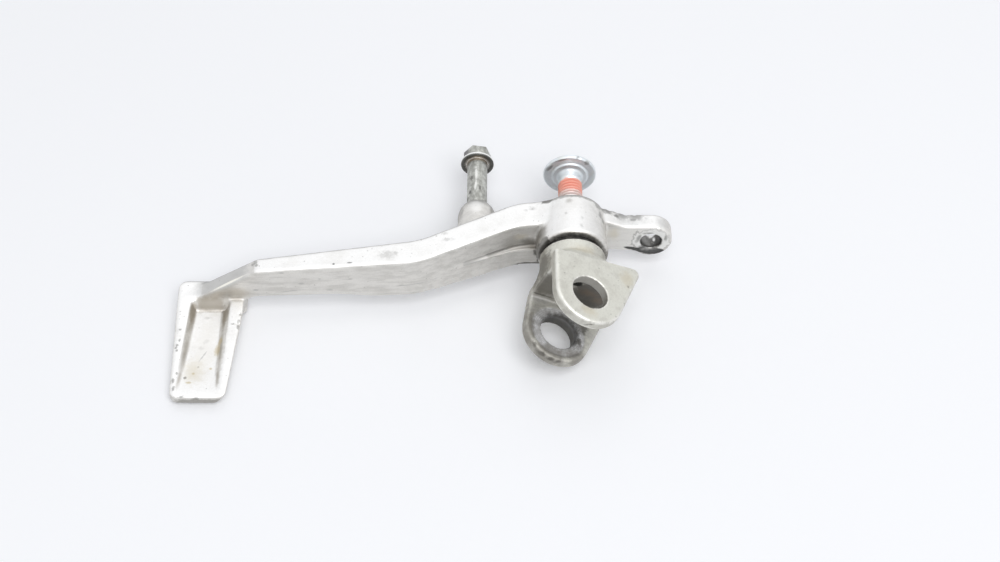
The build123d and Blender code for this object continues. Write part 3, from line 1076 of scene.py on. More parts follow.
@dataclass
class PivotBolt:
    """Flanged button-head bolt: head with a hexagon socket, washer face, core and a real thread."""

    finish: ZincFinish
    core_r: float = 4.15
    crest_r: float = 4.98
    pitch: float = 1.5
    thread_start: float = -15.2
    thread_end: float = 16.6
    neck_r: float = 4.75
    tip_y: float = -16.0
    seat_y: float = 21.0
    ring_r: float = 7.0
    ring_slope: float = 0.7
    flange_r: float = 10.88
    flange_back: float = 23.5
    button_r: float = 8.6
    flat_r: float = 4.6
    head_y: float = 26.5
    socket_r: float = 3.46
    socket_floor: float = 23.4
    socket_lead: float = 0.25
    crease: float = 35.0
    sides: int = 6
    steps: int = 96
    per_turn: int = 48
    ridge_half: float = 0.46
    crest_half: float = 0.10
    crest_round: float = 0.06
    root_sink: float = 0.15
    edge_round: float = 0.22
    dents: tuple[Dent, ...] = ()

    def build(self) -> bpy.types.Object:
        """Makes the bolt.

        Returns:
            The piece.
        """
        shape = self.head_and_core()
        soften(shape, self.edge_round)
        press(shape, self.dents)
        self.cut_socket(shape)
        self.add_thread(shape)
        finish = self.finish.material()
        return settle("pivot_bolt_zinc", shape, finish, Body.HOLDER, Slot.ZINC_STEEL, "pivot_bolt")

    def head_and_core(self) -> bmesh.types.BMesh:
        """Turned outline from the thread's tip to the rim of the socket.

        Returns:
            The mesh, open at the top of the head.
        """
        core, neck, ring, flange = self.core_r, self.neck_r, self.ring_r, self.flange_r
        tip, end, seat, back = self.tip_y, self.thread_end, self.seat_y, self.flange_back
        flange_y = seat + self.ring_slope
        dome = []
        for step in range(1, 7):
            turn = math.radians(15.0 * step)
            dome.append((
                self.flat_r + (self.button_r - self.flat_r) * math.cos(turn),
                back + (self.head_y - back) * math.sin(turn),
            ))
        profile = [
            (0.0, tip), (core - 0.7, tip), (core, tip + 0.8), (core, end + 0.3), (neck, end + 0.9),
            (neck, seat - 1.4), (neck + 0.3, seat - 0.6), (neck + 0.9, seat - 0.1), (ring, seat),
            (ring + 0.5, flange_y), (ring + 0.9, flange_y + 0.15), (ring + 1.4, flange_y),
            (flange - 0.5, flange_y), (flange, flange_y + 0.45), (flange, back - 0.3), (flange - 0.3, back),
            (self.button_r, back), *dome,
        ]
        return turned(profile, steps=self.steps)

    def cut_socket(self, shape: bmesh.types.BMesh) -> None:
        """Closes the top of the head round a hexagon socket.

        Args:
            shape: Mesh with an open top.
        """
        ring = [edge for edge in shape.edges if len(edge.link_faces) == 1]
        wide, top = self.socket_r + self.socket_lead, self.head_y
        rings = ((wide, top), (self.socket_r, top - self.socket_lead), (self.socket_r, self.socket_floor))
        for corner, depth in rings:
            ring = self.sink_ring(shape, ring, corner, depth)
        bmesh.ops.contextual_create(shape, geom=ring)
        bmesh.ops.recalc_face_normals(shape, faces=shape.faces)
        for edge in shape.edges:
            edge.smooth = edge.calc_face_angle(0.0) < math.radians(self.crease)

    def sink_ring(
        self, shape: bmesh.types.BMesh, ring: list[bmesh.types.BMEdge], corner: float, depth: float
    ) -> list[bmesh.types.BMEdge]:
        """Draws the open ring of a mesh on to a hexagon.

        Args:
            shape: The mesh.
            ring: Edges of the open ring.
            corner: Distance of the hexagon's corners from the axis, in millimetres.
            depth: Its place along Y, in millimetres.

        Returns:
            Edges of the hexagon, which is the open ring now.
        """
        made = bmesh.ops.extrude_edge_only(shape, edges=ring)["geom"]
        fresh = {g for g in made if isinstance(g, bmesh.types.BMVert)}
        half = math.pi / self.sides
        for vert in fresh:
            turn = math.atan2(vert.co.z, vert.co.x)
            reach = corner * math.cos(half) / math.cos(turn % (2.0 * half) - half)
            vert.co = Vector((reach * math.cos(turn), depth, reach * math.sin(turn))) * MM
        return [g for g in made if isinstance(g, bmesh.types.BMEdge) and set(g.verts) <= fresh]

    def add_thread(self, shape: bmesh.types.BMesh) -> None:
        """Winds the thread's ridge round the core.

        Args:
            shape: Mesh of the bolt.
        """
        turns = (self.thread_end - self.thread_start) / self.pitch
        steps = round(turns * self.per_turn)
        inner, shoulder = self.core_r - self.root_sink, self.crest_r - self.crest_round
        foot, flat = self.ridge_half * self.pitch, self.crest_half * self.pitch
        section = [(inner, -foot), (shoulder, -flat), (self.crest_r, 0.0), (shoulder, flat), (inner, foot)]
        verts = [shape.verts.new((r * MM, (self.thread_start + y) * MM, 0)) for r, y in section]
        edges = [shape.edges.new(pair) for pair in zip(verts, verts[1:] + verts[:1])]
        ridge = bmesh.ops.spin(
            shape, geom=verts + edges, cent=(0, 0, 0), axis=(0, 1, 0), angle=math.tau * steps / self.per_turn,
            steps=steps, dvec=(0, self.pitch / self.per_turn * MM, 0),
        )
        ends = [g for g in ridge["geom_last"] if isinstance(g, bmesh.types.BMEdge)]
        for loop in (edges, ends):
            bmesh.ops.contextual_create(shape, geom=loop)
        bmesh.ops.recalc_face_normals(shape, faces=shape.faces)


@dataclass
class SpringPostBolt:
    """Shouldered flange bolt that the springs hook on."""

    finish: DullSteelFinish
    axis: Pair = (-38.3, -5.0)
    thread_r: float = 2.96
    thread_tip: float = -3.0
    chamfer: float = 0.5
    shoulder_y: float = 9.05
    shank_r: float = 4.2
    worn: Outline = ((0.0, 14.0), (0.04, 18.0), (0.0, 22.0), (0.05, 27.0))
    seat_y: float = 32.4
    dish: float = 0.55
    dish_r: float = 6.0
    flange_r: float = 6.88
    flange_back: float = 34.0
    boss_r: float = 5.2
    hex_flats: float = 10.0
    hex_turn: float = -10.0
    hex_root: float = 0.4
    head_y: float = 39.38
    crown_round: float = 0.55
    corner_round: float = 0.3
    edge_round: float = 0.15
    steps: int = 72

    def build(self) -> bpy.types.Object:
        """Makes the bolt.

        Returns:
            The piece.
        """
        thread, tip, shank, seat = self.thread_r, self.thread_tip, self.shank_r, self.seat_y
        dish_y, flange, back = self.seat_y + self.dish, self.flange_r, self.flange_back
        profile = [
            (0.0, tip), (thread - self.chamfer, tip), (thread, tip + self.chamfer), (thread, self.shoulder_y),
            (shank - 0.25, self.shoulder_y), (shank, self.shoulder_y + 0.3),
            *((shank - r, y) for r, y in self.worn), (shank, dish_y - 0.2), (shank + 0.3, dish_y),
            (self.dish_r - 0.3, seat + 0.25), (self.dish_r + 0.25, seat), (flange - 0.25, seat + 0.1),
            (flange, seat + 0.35), (flange, back - 0.25), (flange - 0.3, back - 0.05),
            (self.boss_r, back + 0.5), (0.0, back + 0.5),
        ]
        shape = turned(profile, self.axis, steps=self.steps)
        soften(shape, self.edge_round)
        self.add_head(shape)
        finish = self.finish.material()
        return settle(
            "spring_post_bolt_steel", shape, finish, Body.PEDAL, Slot.DULL_STEEL, "spring_post_bolt"
        )

    def add_head(self, shape: bmesh.types.BMesh) -> None:
        """Sets the hexagon head on the flange.

        Args:
            shape: Mesh of the bolt.
        """
        corner = self.hex_flats / 2.0 / math.cos(math.radians(30.0))
        base = self.flange_back - self.hex_root
        verts = bmesh.ops.create_circle(shape, cap_ends=True, segments=6, radius=corner * MM)["verts"]
        for angle, way in ((self.hex_turn + 30.0, "Z"), (90.0, "X")):
            turn = Matrix.Rotation(math.radians(angle), 3, way)
            bmesh.ops.rotate(shape, verts=verts, cent=(0, 0, 0), matrix=turn)
        bmesh.ops.translate(shape, verts=verts, vec=(self.axis[0] * MM, base * MM, self.axis[1] * MM))
        cap = next(iter(set(verts[0].link_faces) & set(verts[1].link_faces)))
        grown = bmesh.ops.extrude_face_region(shape, geom=[cap])["geom"]
        top = [g for g in grown if isinstance(g, bmesh.types.BMVert)]
        bmesh.ops.translate(shape, verts=top, vec=(0, (self.head_y - base) * MM, 0))
        bmesh.ops.recalc_face_normals(shape, faces=shape.faces)
        crown = [g for g in grown if isinstance(g, bmesh.types.BMFace)]
        rim = list({edge for face in crown for edge in face.edges})
        sides = [e for v in top for e in v.link_edges if e not in rim]
        bevel(shape, rim, self.crown_round, 3)
        bevel(shape, [e for e in sides if e.is_valid], self.corner_round)


@dataclass
class DustSeal:
    """Rubber ring with a lip, in one end of the pivot eye."""

    node: str
    finish: RubberFinish
    outer_r: float
    seat_y: float
    lip_y: float
    inner_r: float = 7.56
    edge_round: float = 0.08

    def build(self) -> bpy.types.Object:
        """Makes the seal.

        Returns:
            The piece.
        """
        inner, outer, seat, lip = self.inner_r, self.outer_r, self.seat_y, self.lip_y
        depth, wall = lip - seat, outer - inner
        profile = [
            (inner, seat), (outer, seat), (outer, seat + 0.55 * depth),
            (outer - 0.06 * wall, lip - 0.12 * depth), (outer - 0.2 * wall, lip),
            (outer - 0.34 * wall, lip - 0.04 * depth),
            (outer - 0.45 * wall, lip - 0.28 * depth), (inner + 0.34 * wall, lip - 0.28 * depth),
            (inner + 0.14 * wall, lip), (inner, lip - 0.08 * depth),
        ]
        shape = turned(profile, ring=True)
        soften(shape, self.edge_round)
        return settle(
            f"{self.node}_rubber", shape, self.finish.material(), Body.PEDAL, Slot.SEAL_RUBBER, self.node
        )


@dataclass
class PivotBush:
    """Plain bearing bush in the pivot eye."""

    finish: BronzeFinish
    inner_r: float = 7.56
    outer_r: float = 9.0
    front_y: float = -19.45
    rear_y: float = -2.55
    edge_round: float = 0.3

    def build(self) -> bpy.types.Object:
        """Makes the bush.

        Returns:
            The piece.
        """
        inner, outer, front, rear = self.inner_r, self.outer_r, self.front_y, self.rear_y
        shape = turned([(inner, front), (outer, front), (outer, rear), (inner, rear)], ring=True)
        soften(shape, self.edge_round)
        finish = self.finish.material()
        return settle("pivot_bush_bronze", shape, finish, Body.PEDAL, Slot.BUSH_BRONZE, "pivot_bush")


@dataclass(frozen=True)
class Lamp:
    """A square lamp, in metres and watts."""

    name: str
    place: Triple
    size: float
    power: float

    def hang(self, target: Vector) -> None:
        """Hangs the lamp so that it faces a place.

        Args:
            target: The place in metres.
        """
        data = bpy.data.lights.new(self.name, "AREA")
        data.shape = "SQUARE"
        data.size = self.size
        data.energy = self.power
        lamp = bpy.data.objects.new(self.name, data)
        lamp.location = self.place
        lamp.rotation_euler = (target - Vector(self.place)).to_track_quat("-Z", "Y").to_euler()
        bpy.context.scene.collection.objects.link(lamp)


@dataclass
class Studio:
    """Pale floor, soft light and the camera."""

    floor: FloorFinish
    floor_half: float = 3.0
    target: Triple = (-28.8, -35.1, 0.0)
    elevation: float = 50.0
    distance: float = 700.0
    lens: float = 64.08
    sensor: float = 36.0
    clip: float = 0.01
    sky: Triple = (0.97, 0.98, 1.0)
    sky_strength: float = 0.5
    lamps: tuple[Lamp, ...] = (
        Lamp("front_softbox", (0.4, -1.15, 2.0), 1.6, 29.0), Lamp("top_softbox", (0.1, 0.6, 1.2), 1.3, 1.6),
    )

    def build(self, ground: float) -> None:
        """Sets up floor, light and camera.

        Args:
            ground: Height of the floor in metres.
        """
        self.lay_floor(ground)
        self.light()
        self.place_camera()
        bpy.context.scene.view_settings.view_transform = "Standard"

    def lay_floor(self, ground: float) -> None:
        """Lays the floor.

        Args:
            ground: Its height in metres.
        """
        shape = bmesh.new()
        bmesh.ops.create_grid(shape, x_segments=2, y_segments=2, size=self.floor_half)
        mesh = bpy.data.meshes.new("floor")
        shape.to_mesh(mesh)
        shape.free()
        mesh.materials.append(self.floor.material())
        floor = bpy.data.objects.new("floor", mesh)
        floor.location = (0, 0, ground)
        bpy.context.scene.collection.objects.link(floor)
        floor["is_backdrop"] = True

    def light(self) -> None:
        """Sets the sky, brighter where it is seen than where it lights, and hangs the lamps."""
        world = bpy.data.worlds.new("studio")
        world.use_nodes = True
        tree = world.node_tree
        back = tree.nodes["Background"]
        back.inputs["Color"].default_value = (*self.sky, 1.0)
        path = tree.nodes.new("ShaderNodeLightPath")
        seen = path.outputs["Is Camera Ray"]
        for kind in ("Is Glossy Ray", "Is Transmission Ray"):
            either = tree.nodes.new("ShaderNodeMath")
            either.operation = "MAXIMUM"
            tree.links.new(seen, either.inputs[0])
            tree.links.new(path.outputs[kind], either.inputs[1])
            seen = either.outputs[0]
        level = tree.nodes.new("ShaderNodeMapRange")
        level.inputs["To Min"].default_value = self.sky_strength
        level.inputs["To Max"].default_value = 1.0
        tree.links.new(seen, level.inputs["Value"])
        tree.links.new(level.outputs[0], back.inputs["Strength"])
        bpy.context.scene.world = world
        for lamp in self.lamps:
            lamp.hang(Vector(self.target) * MM)

    def place_camera(self) -> None:
        """Puts the camera at the photograph's angle."""
        data = bpy.data.cameras.new("camera")
        data.sensor_fit = "HORIZONTAL"
        data.sensor_width = self.sensor
        data.lens = self.lens
        data.clip_start = self.clip
        camera = bpy.data.objects.new("camera", data)
        tilt = math.radians(self.elevation)
        away = Vector((0, -math.cos(tilt), math.sin(tilt))) * self.distance
        camera.location = (Vector(self.target) + away) * MM
        camera.rotation_euler = (math.radians(90.0 - self.elevation), 0, 0)
        bpy.context.scene.collection.objects.link(camera)
        bpy.context.scene.camera = camera


PEDAL_STAINS_AND_LIGHT = (
    StainAndLight((0.17, 0.17, 0.165), 0.85, 0.9, marks(
        (25.0, -3.7, 1.2, 1.8, 1.0, 0.8), (26.2, -8.1, -4.6, 0.6, 1.0, 3.9, 0, 33, 0),
        (27.6, -8.1, -5.2, 0.5, 1.0, 2.4, 0, 33, 0), (18.0, -3.2, 2.6, 2.2, 1.2, 1.0),
        (-94.2, -30.4, 4.9, 0.7, 0.7, 0.7), (-87.9, -30.0, 5.2, 1.6, 0.5, 0.6),
        (-151.3, -69.0, -18.2, 0.9, 0.9, 1.6), (-146.8, -63.5, -18.2, 0.7, 0.7, 1.6),
    )),
    StainAndLight((0.20, 0.195, 0.185), 0.8, 1.5, marks(
        (14.5, -1.4, 4.3, 5.0, 2.8, 2.4, 0, 22, 0), (20.8, -1.9, 2.0, 5.4, 3.2, 2.2, 0, 10, 0),
        (25.8, -2.0, 1.3, 4.8, 3.2, 1.6),
    ), soft=0.8),
    StainAndLight((0.32, 0.315, 0.30), 0.72, 1.9, marks(
        (-126.0, -28.2, 2.5, 2.5, 1.7, 1.3), (-124.8, -29.7, 3.1, 1.3, 1.0, 0.9),
        (-155.2, -47.9, -14.6, 0.8, 0.7, 0.7), (-154.9, -52.9, -15.1, 0.6, 0.9, 0.7),
        (-155.6, -55.1, -15.3, 0.9, 0.7, 0.7), (-156.1, -56.2, -15.5, 0.8, 0.8, 0.8),
        (-155.5, -57.5, -15.6, 0.7, 0.7, 0.7), (-155.6, -71.3, -17.1, 0.9, 1.3, 0.9),
        (-154.3, -67.9, -16.7, 0.8, 0.9, 0.7), (-155.1, -74.7, -17.5, 0.8, 1.6, 0.8),
        (-132.0, -40.7, -13.9, 0.7, 1.0, 0.7), (-132.4, -44.1, -14.3, 0.8, 1.1, 0.7),
        (-132.5, -46.7, -14.6, 0.7, 1.3, 0.7), (-134.6, -45.3, -14.3, 1.4, 0.7, 0.6),
        (-152.6, -78.2, -17.9, 3.0, 0.8, 0.9), (-146.1, -78.9, -18.8, 3.2, 0.8, 0.9),
        (11.4, -7.2, 7.6, 1.2, 2.6, 2.0), (12.4, -8.9, 6.1, 1.0, 2.0, 1.6),
        (-9.5, -0.9, 9.8, 3.0, 0.8, 1.6, 0, -35, 0),
    )),
    StainAndLight((0.38, 0.375, 0.36), 0.42, 2.2, marks(
        (3.6, -14.0, 13.6, 1.2, 1.4, 0.9), (3.5, -18.6, 13.9, 1.1, 1.6, 0.9),
        (-2.7, -11.6, 13.7, 1.1, 0.9, 0.8), (-15.6, -4.7, 8.9, 2.4, 1.5, 0.9),
        (-18.4, -5.6, 8.9, 1.2, 1.0, 0.8), (-73.4, -26.2, 6.0, 4.5, 3.0, 0.9),
        (-50.8, -16.1, 7.2, 1.8, 1.2, 0.8), (-49.6, -19.5, 7.3, 3.4, 1.4, 0.8),
        (-70.0, -25.7, 6.2, 1.6, 1.0, 0.8), (-144.9, -51.0, -18.2, 2.0, 1.8, 1.6),
        (-146.7, -54.3, -18.2, 1.6, 2.0, 1.6), (-145.3, -39.5, -17.8, 1.9, 0.9, 1.4),
    ), soft=0.9),
    StainAndLight((0.085, 0.078, 0.068), 0.9, 0.3, marks((0.0, -22.9, 0.0, 20.0, 2.4, 20.0)), soft=0.25),
    # Painted shade: grey over the slope where the arm's top runs down to the pad.
    StainAndLight((0.48, 0.48, 0.475), 0.6, 0.3, marks(
        (-139.0, -27.0, -6.0, 15.0, 8.0, 2.4, 0, -33.5, 0), form=Form.BLOCK,
    ), soft=0.4),
    # Dirt and painted shade: brown on the back wall of the pad's hollow.
    StainAndLight((0.37, 0.33, 0.27), 0.62, 0.4, marks(
        (-141.5, -33.2, -10.6, 9.0, 2.0, 3.4, 0, -24, 0), (-133.5, -33.2, -9.4, 8.0, 1.6, 4.6),
    ) + marks(
        (-134.4, -33.7, -12.6, 4.8, 1.5, 1.6), form=Form.BLOCK,
    ), soft=0.85),
    # Dirt and painted shade: brown on the shelf behind the hollow and the walls beside it.
    StainAndLight((0.37, 0.33, 0.27), 0.75, 0.5, marks(
        (-138.3, -40.0, -15.8, 1.9, 6.0, 2.8), (-150.9, -38.8, -15.4, 1.9, 6.5, 2.8),
    ) + marks(
        (-144.2, -35.0, -14.8, 7.4, 2.4, 3.6), form=Form.BLOCK,
    ), soft=0.5),
    StainAndLight((0.78, 0.76, 0.72), 0.55, 1.0, marks((-145.4, -56.0, -18.0, 8.0, 21.0, 1.4, 0, 0, -2)), soft=0.6),
    # Dirt and painted shade: brown along the side walls of the hollow and the foot of its back wall.
    StainAndLight((0.30, 0.265, 0.215), 0.62, 0.4, marks(
        (-151.0, -43.0, -16.2, 1.7, 8.5, 2.6, 0, 0, -4.5),
        (-152.2, -58.0, -16.9, 1.5, 12.0, 2.2, 0, 0, -4.5),
        (-153.4, -70.0, -17.8, 1.2, 7.0, 1.8, 0, 0, -4.5), (-138.6, -42.0, -16.4, 1.5, 8.0, 2.6),
        (-138.6, -56.0, -17.0, 1.3, 12.0, 2.2), (-138.6, -69.0, -17.6, 1.1, 7.5, 1.8),
        (-144.8, -36.3, -17.0, 7.0, 0.9, 1.4),
    ), soft=0.9),
    # Painted highlight: a pale yellow line along the front edge of that slope.
    StainAndLight((0.96, 0.94, 0.86), 0.85, 0.3, marks(
        (-137.8, -32.5, -5.2, 13.2, 0.8, 0.75, 0, -32.9, 2),
    ), soft=0.55),
    # Painted shade: darker over the front end face of the pad.
    StainAndLight((0.30, 0.285, 0.26), 0.75, 0.7, marks(
        (-145.5, -79.2, -20.6, 10.5, 1.2, 1.9), form=Form.BLOCK,
    ), soft=0.35),
    # Cleaner metal with painted light: a paler tone over the lug's front face.
    StainAndLight((0.86, 0.85, 0.82), 0.5, 0.5, marks((24.0, -8.1, -5.5, 15.0, 0.9, 9.0), form=Form.BLOCK), soft=0.5),
    StainAndLight((0.55, 0.55, 0.54), 0.5, 1.3, marks(
        (24.0, -4.0, 1.4, 13.0, 5.0, 2.5), (36.5, -4.4, -1.0, 5.0, 4.5, 4.0),
    ), soft=0.95),
    # Painted shade: darker on the spigot's left and right flanks.
    StainAndLight((0.30, 0.29, 0.27), 0.6, 1.5, marks(
        (-45.0, 2.0, -2.4, 2.2, 7.0, 4.4, 0, 25, 0), (-32.0, 3.4, -1.4, 1.8, 5.0, 3.6),
    ), soft=0.8),
    # Painted highlight: pale over the middle of the spigot's top.
    StainAndLight((0.86, 0.855, 0.84), 0.6, 0.8, marks((-38.6, 3.0, 2.4, 4.2, 6.0, 2.4)), soft=0.8),
    # Painted shade with some dirt: near black in the corner between the eye and the arm, on the eye's front
    # and rear rims and along the keel's bottom edge.
    StainAndLight((0.10, 0.094, 0.082), 0.8, 0.9, marks(
        (-11.4, -21.3, 7.4, 3.0, 1.9, 3.8), (-12.9, -21.2, 3.4, 2.6, 2.2, 4.2),
        (-13.9, -20.4, -1.0, 2.4, 2.8, 4.0), (-14.2, -17.0, -4.5, 2.0, 3.4, 4.0),
        (-13.0, -15.6, -8.8, 1.3, 1.6, 4.6), (-10.2, -1.6, 9.8, 3.2, 1.5, 1.8, 0, -35, 0),
        (13.6, -20.0, -1.0, 1.8, 2.8, 4.4), (-18.0, -15.6, -12.3, 8.5, 1.6, 1.2),
    ), soft=0.4),
    StainAndLight((0.40, 0.39, 0.37), 0.75, 0.8, marks(
        (-11.9, -17.0, 7.0, 2.8, 6.5, 5.8), (-13.4, -12.0, 4.0, 2.0, 6.0, 4.0),
    ), soft=0.7),
    StainAndLight((0.27, 0.265, 0.25), 0.6, 0.9, marks(
        (10.5, -2.0, 8.4, 2.6, 3.0, 2.8),
    ) + marks(
        (0.0, -0.6, 12.0, 13.6, 2.4, 7.0), form=Form.BLOCK,
    ), soft=0.35),
    # Painted shade: the low ledge along the arm's front is darkened over its top.
    StainAndLight((0.30, 0.29, 0.275), 0.9, 0.3, marks(
        (-19.5, -14.8, -3.2, 9.5, 2.6, 1.05, 0, 0, 4), (-30.5, -17.8, -3.2, 5.0, 2.6, 1.05, 0, 0, 27.4),
        form=Form.BLOCK,
    ), soft=0.3),
    # Painted shade: the ledge's left end is darkened over its top, less than the rest.
    StainAndLight((0.46, 0.45, 0.435), 0.8, 0.3, marks(
        (-38.5, -21.6, -3.4, 6.0, 2.4, 1.0, 0, 0, 27.4), form=Form.BLOCK,
    ), soft=0.3),
    # Dirt and painted shade: dark brown in the hollow where the arm's front runs into the eye.
    StainAndLight((0.15, 0.135, 0.11), 0.75, 0.7, marks(
        (-13.6, -17.0, 3.5, 1.6, 5.0, 5.5, 0, 20, 0), (-15.8, -14.0, -3.2, 3.2, 2.4, 2.2),
        (-17.0, -13.6, -1.5, 6.0, 1.6, 3.5),
    ), soft=0.9),
    # Dirt and painted shade: brown over the recess in the arm's front by the eye, and two small smudges on
    # the eye.
    StainAndLight((0.33, 0.31, 0.275), 0.5, 0.8, marks(
        (-24.0, -14.5, 0.0, 12.0, 3.0, 6.0), (13.1, -21.0, 0.4, 1.6, 2.2, 5.0),
        (-1.4, -4.6, 13.5, 2.5, 2.0, 0.8),
    ), soft=0.95),
    StainAndLight((0.66, 0.60, 0.46), 0.4, 0.9, marks(
        (-148.4, -66.0, -18.2, 6.5, 9.0, 2.5), (-20.6, -13.8, 2.3, 5.0, 1.8, 2.6),
        (17.2, -8.1, -2.5, 3.5, 1.2, 5.5),
    ), soft=0.9),
    StainAndLight((0.26, 0.25, 0.235), 0.7, 0.9, marks((32.3, -8.1, -7.4, 8.6, 2.4, 8.2)), soft=0.16),
    StainAndLight((0.83, 0.825, 0.80), 0.9, 0.75, marks((32.6, -8.1, -7.1, 7.9, 2.2, 7.4)), soft=0.14),
    StainAndLight((0.23, 0.225, 0.21), 0.75, 1.4, marks(
        (27.4, -8.1, -5.6, 1.3, 1.0, 3.2, 0, 15, 0), (31.4, -8.1, -2.3, 3.6, 1.0, 0.9),
        (38.4, -8.1, -5.0, 0.9, 1.0, 2.8), (29.0, -8.1, -10.8, 2.6, 1.0, 2.2),
    ), soft=0.8),
    StainAndLight((0.045, 0.045, 0.044), 0.92, 0.35, marks(
        (24.6, -8.1, -11.3, 3.6, 1.6, 1.0, 0, 12, 0), (29.0, -8.1, -12.6, 5.0, 1.6, 1.7, 0, 10, 0),
        (33.8, -8.1, -13.2, 5.8, 1.6, 2.2), (30.6, -8.1, -11.9, 4.6, 1.6, 1.7),
    ), soft=0.3),
    # Greasy dirt and painted shade: near black inside the lug's hole, a little glossy.
    StainAndLight((0.085, 0.083, 0.08), 0.95, 0.35, marks((32.5, -5.0, -7.4, 5.0, 24.0, 5.0)), soft=0.16, gloss=0.15),
    StainAndLight((0.33, 0.325, 0.315), 0.75, 1.6, marks(
        (30.4, -4.6, -10.4, 3.6, 4.6, 3.0), (31.5, -8.1, -11.7, 4.2, 1.4, 1.3),
    ), soft=0.8),
    # Painted highlights: glints inside the lug's hole and a pale spot on the ring above it.
    StainAndLight((0.88, 0.88, 0.86), 0.85, 1.3, marks(
        (33.0, -1.4, -11.6, 2.4, 1.4, 1.2), (34.2, -3.6, -11.2, 0.8, 1.8, 1.2),
        (33.6, -8.1, -3.0, 2.2, 1.0, 0.9),
    ), soft=0.8),
    StainAndLight((0.52, 0.43, 0.24), 0.6, 0.8, marks(
        (-140.0, -55.4, -18.0, 1.9, 3.6, 2.2), (-139.2, -51.6, -17.6, 1.5, 2.6, 2.2),
        (-148.3, -66.8, -18.2, 0.8, 0.8, 1.6), (-149.6, -71.4, -18.2, 1.7, 0.7, 1.6),
        (-141.8, -64.3, -18.2, 0.8, 0.8, 1.6),
    )),
    StainAndLight((0.42, 0.415, 0.40), 0.55, 1.2, marks(
        (-126.0, -33.3, -7.7, 1.5, 0.6, 0.9), (-114.8, -32.9, 2.2, 1.6, 0.7, 0.6),
        (-100.3, -32.4, -2.1, 1.0, 0.6, 0.6), (-107.7, -32.7, -4.6, 1.4, 0.6, 0.8),
        (-88.1, -31.9, -2.6, 1.4, 0.6, 0.7), (-96.7, -32.2, -9.0, 1.8, 0.6, 0.6),
        (-112.0, -32.8, -8.9, 8.0, 0.7, 0.4, 0, -7, 0), (-68.3, -31.2, -7.4, 2.6, 0.7, 0.3, 0, -6, 0),
        (-61.0, -30.2, -7.3, 6.0, 0.9, 0.25, 0, -3, -10), (-66.0, -31.0, -7.4, 7.0, 0.9, 0.4, 0, -7, 6),
        (-54.5, -28.4, -6.8, 5.5, 0.9, 0.4, 0, 4, 21), (-44.4, 1.9, -0.1, 1.2, 2.4, 1.4),
        (-145.4, -58.0, -18.2, 0.45, 4.2, 1.6, 0, 0, -27),
    )),
)

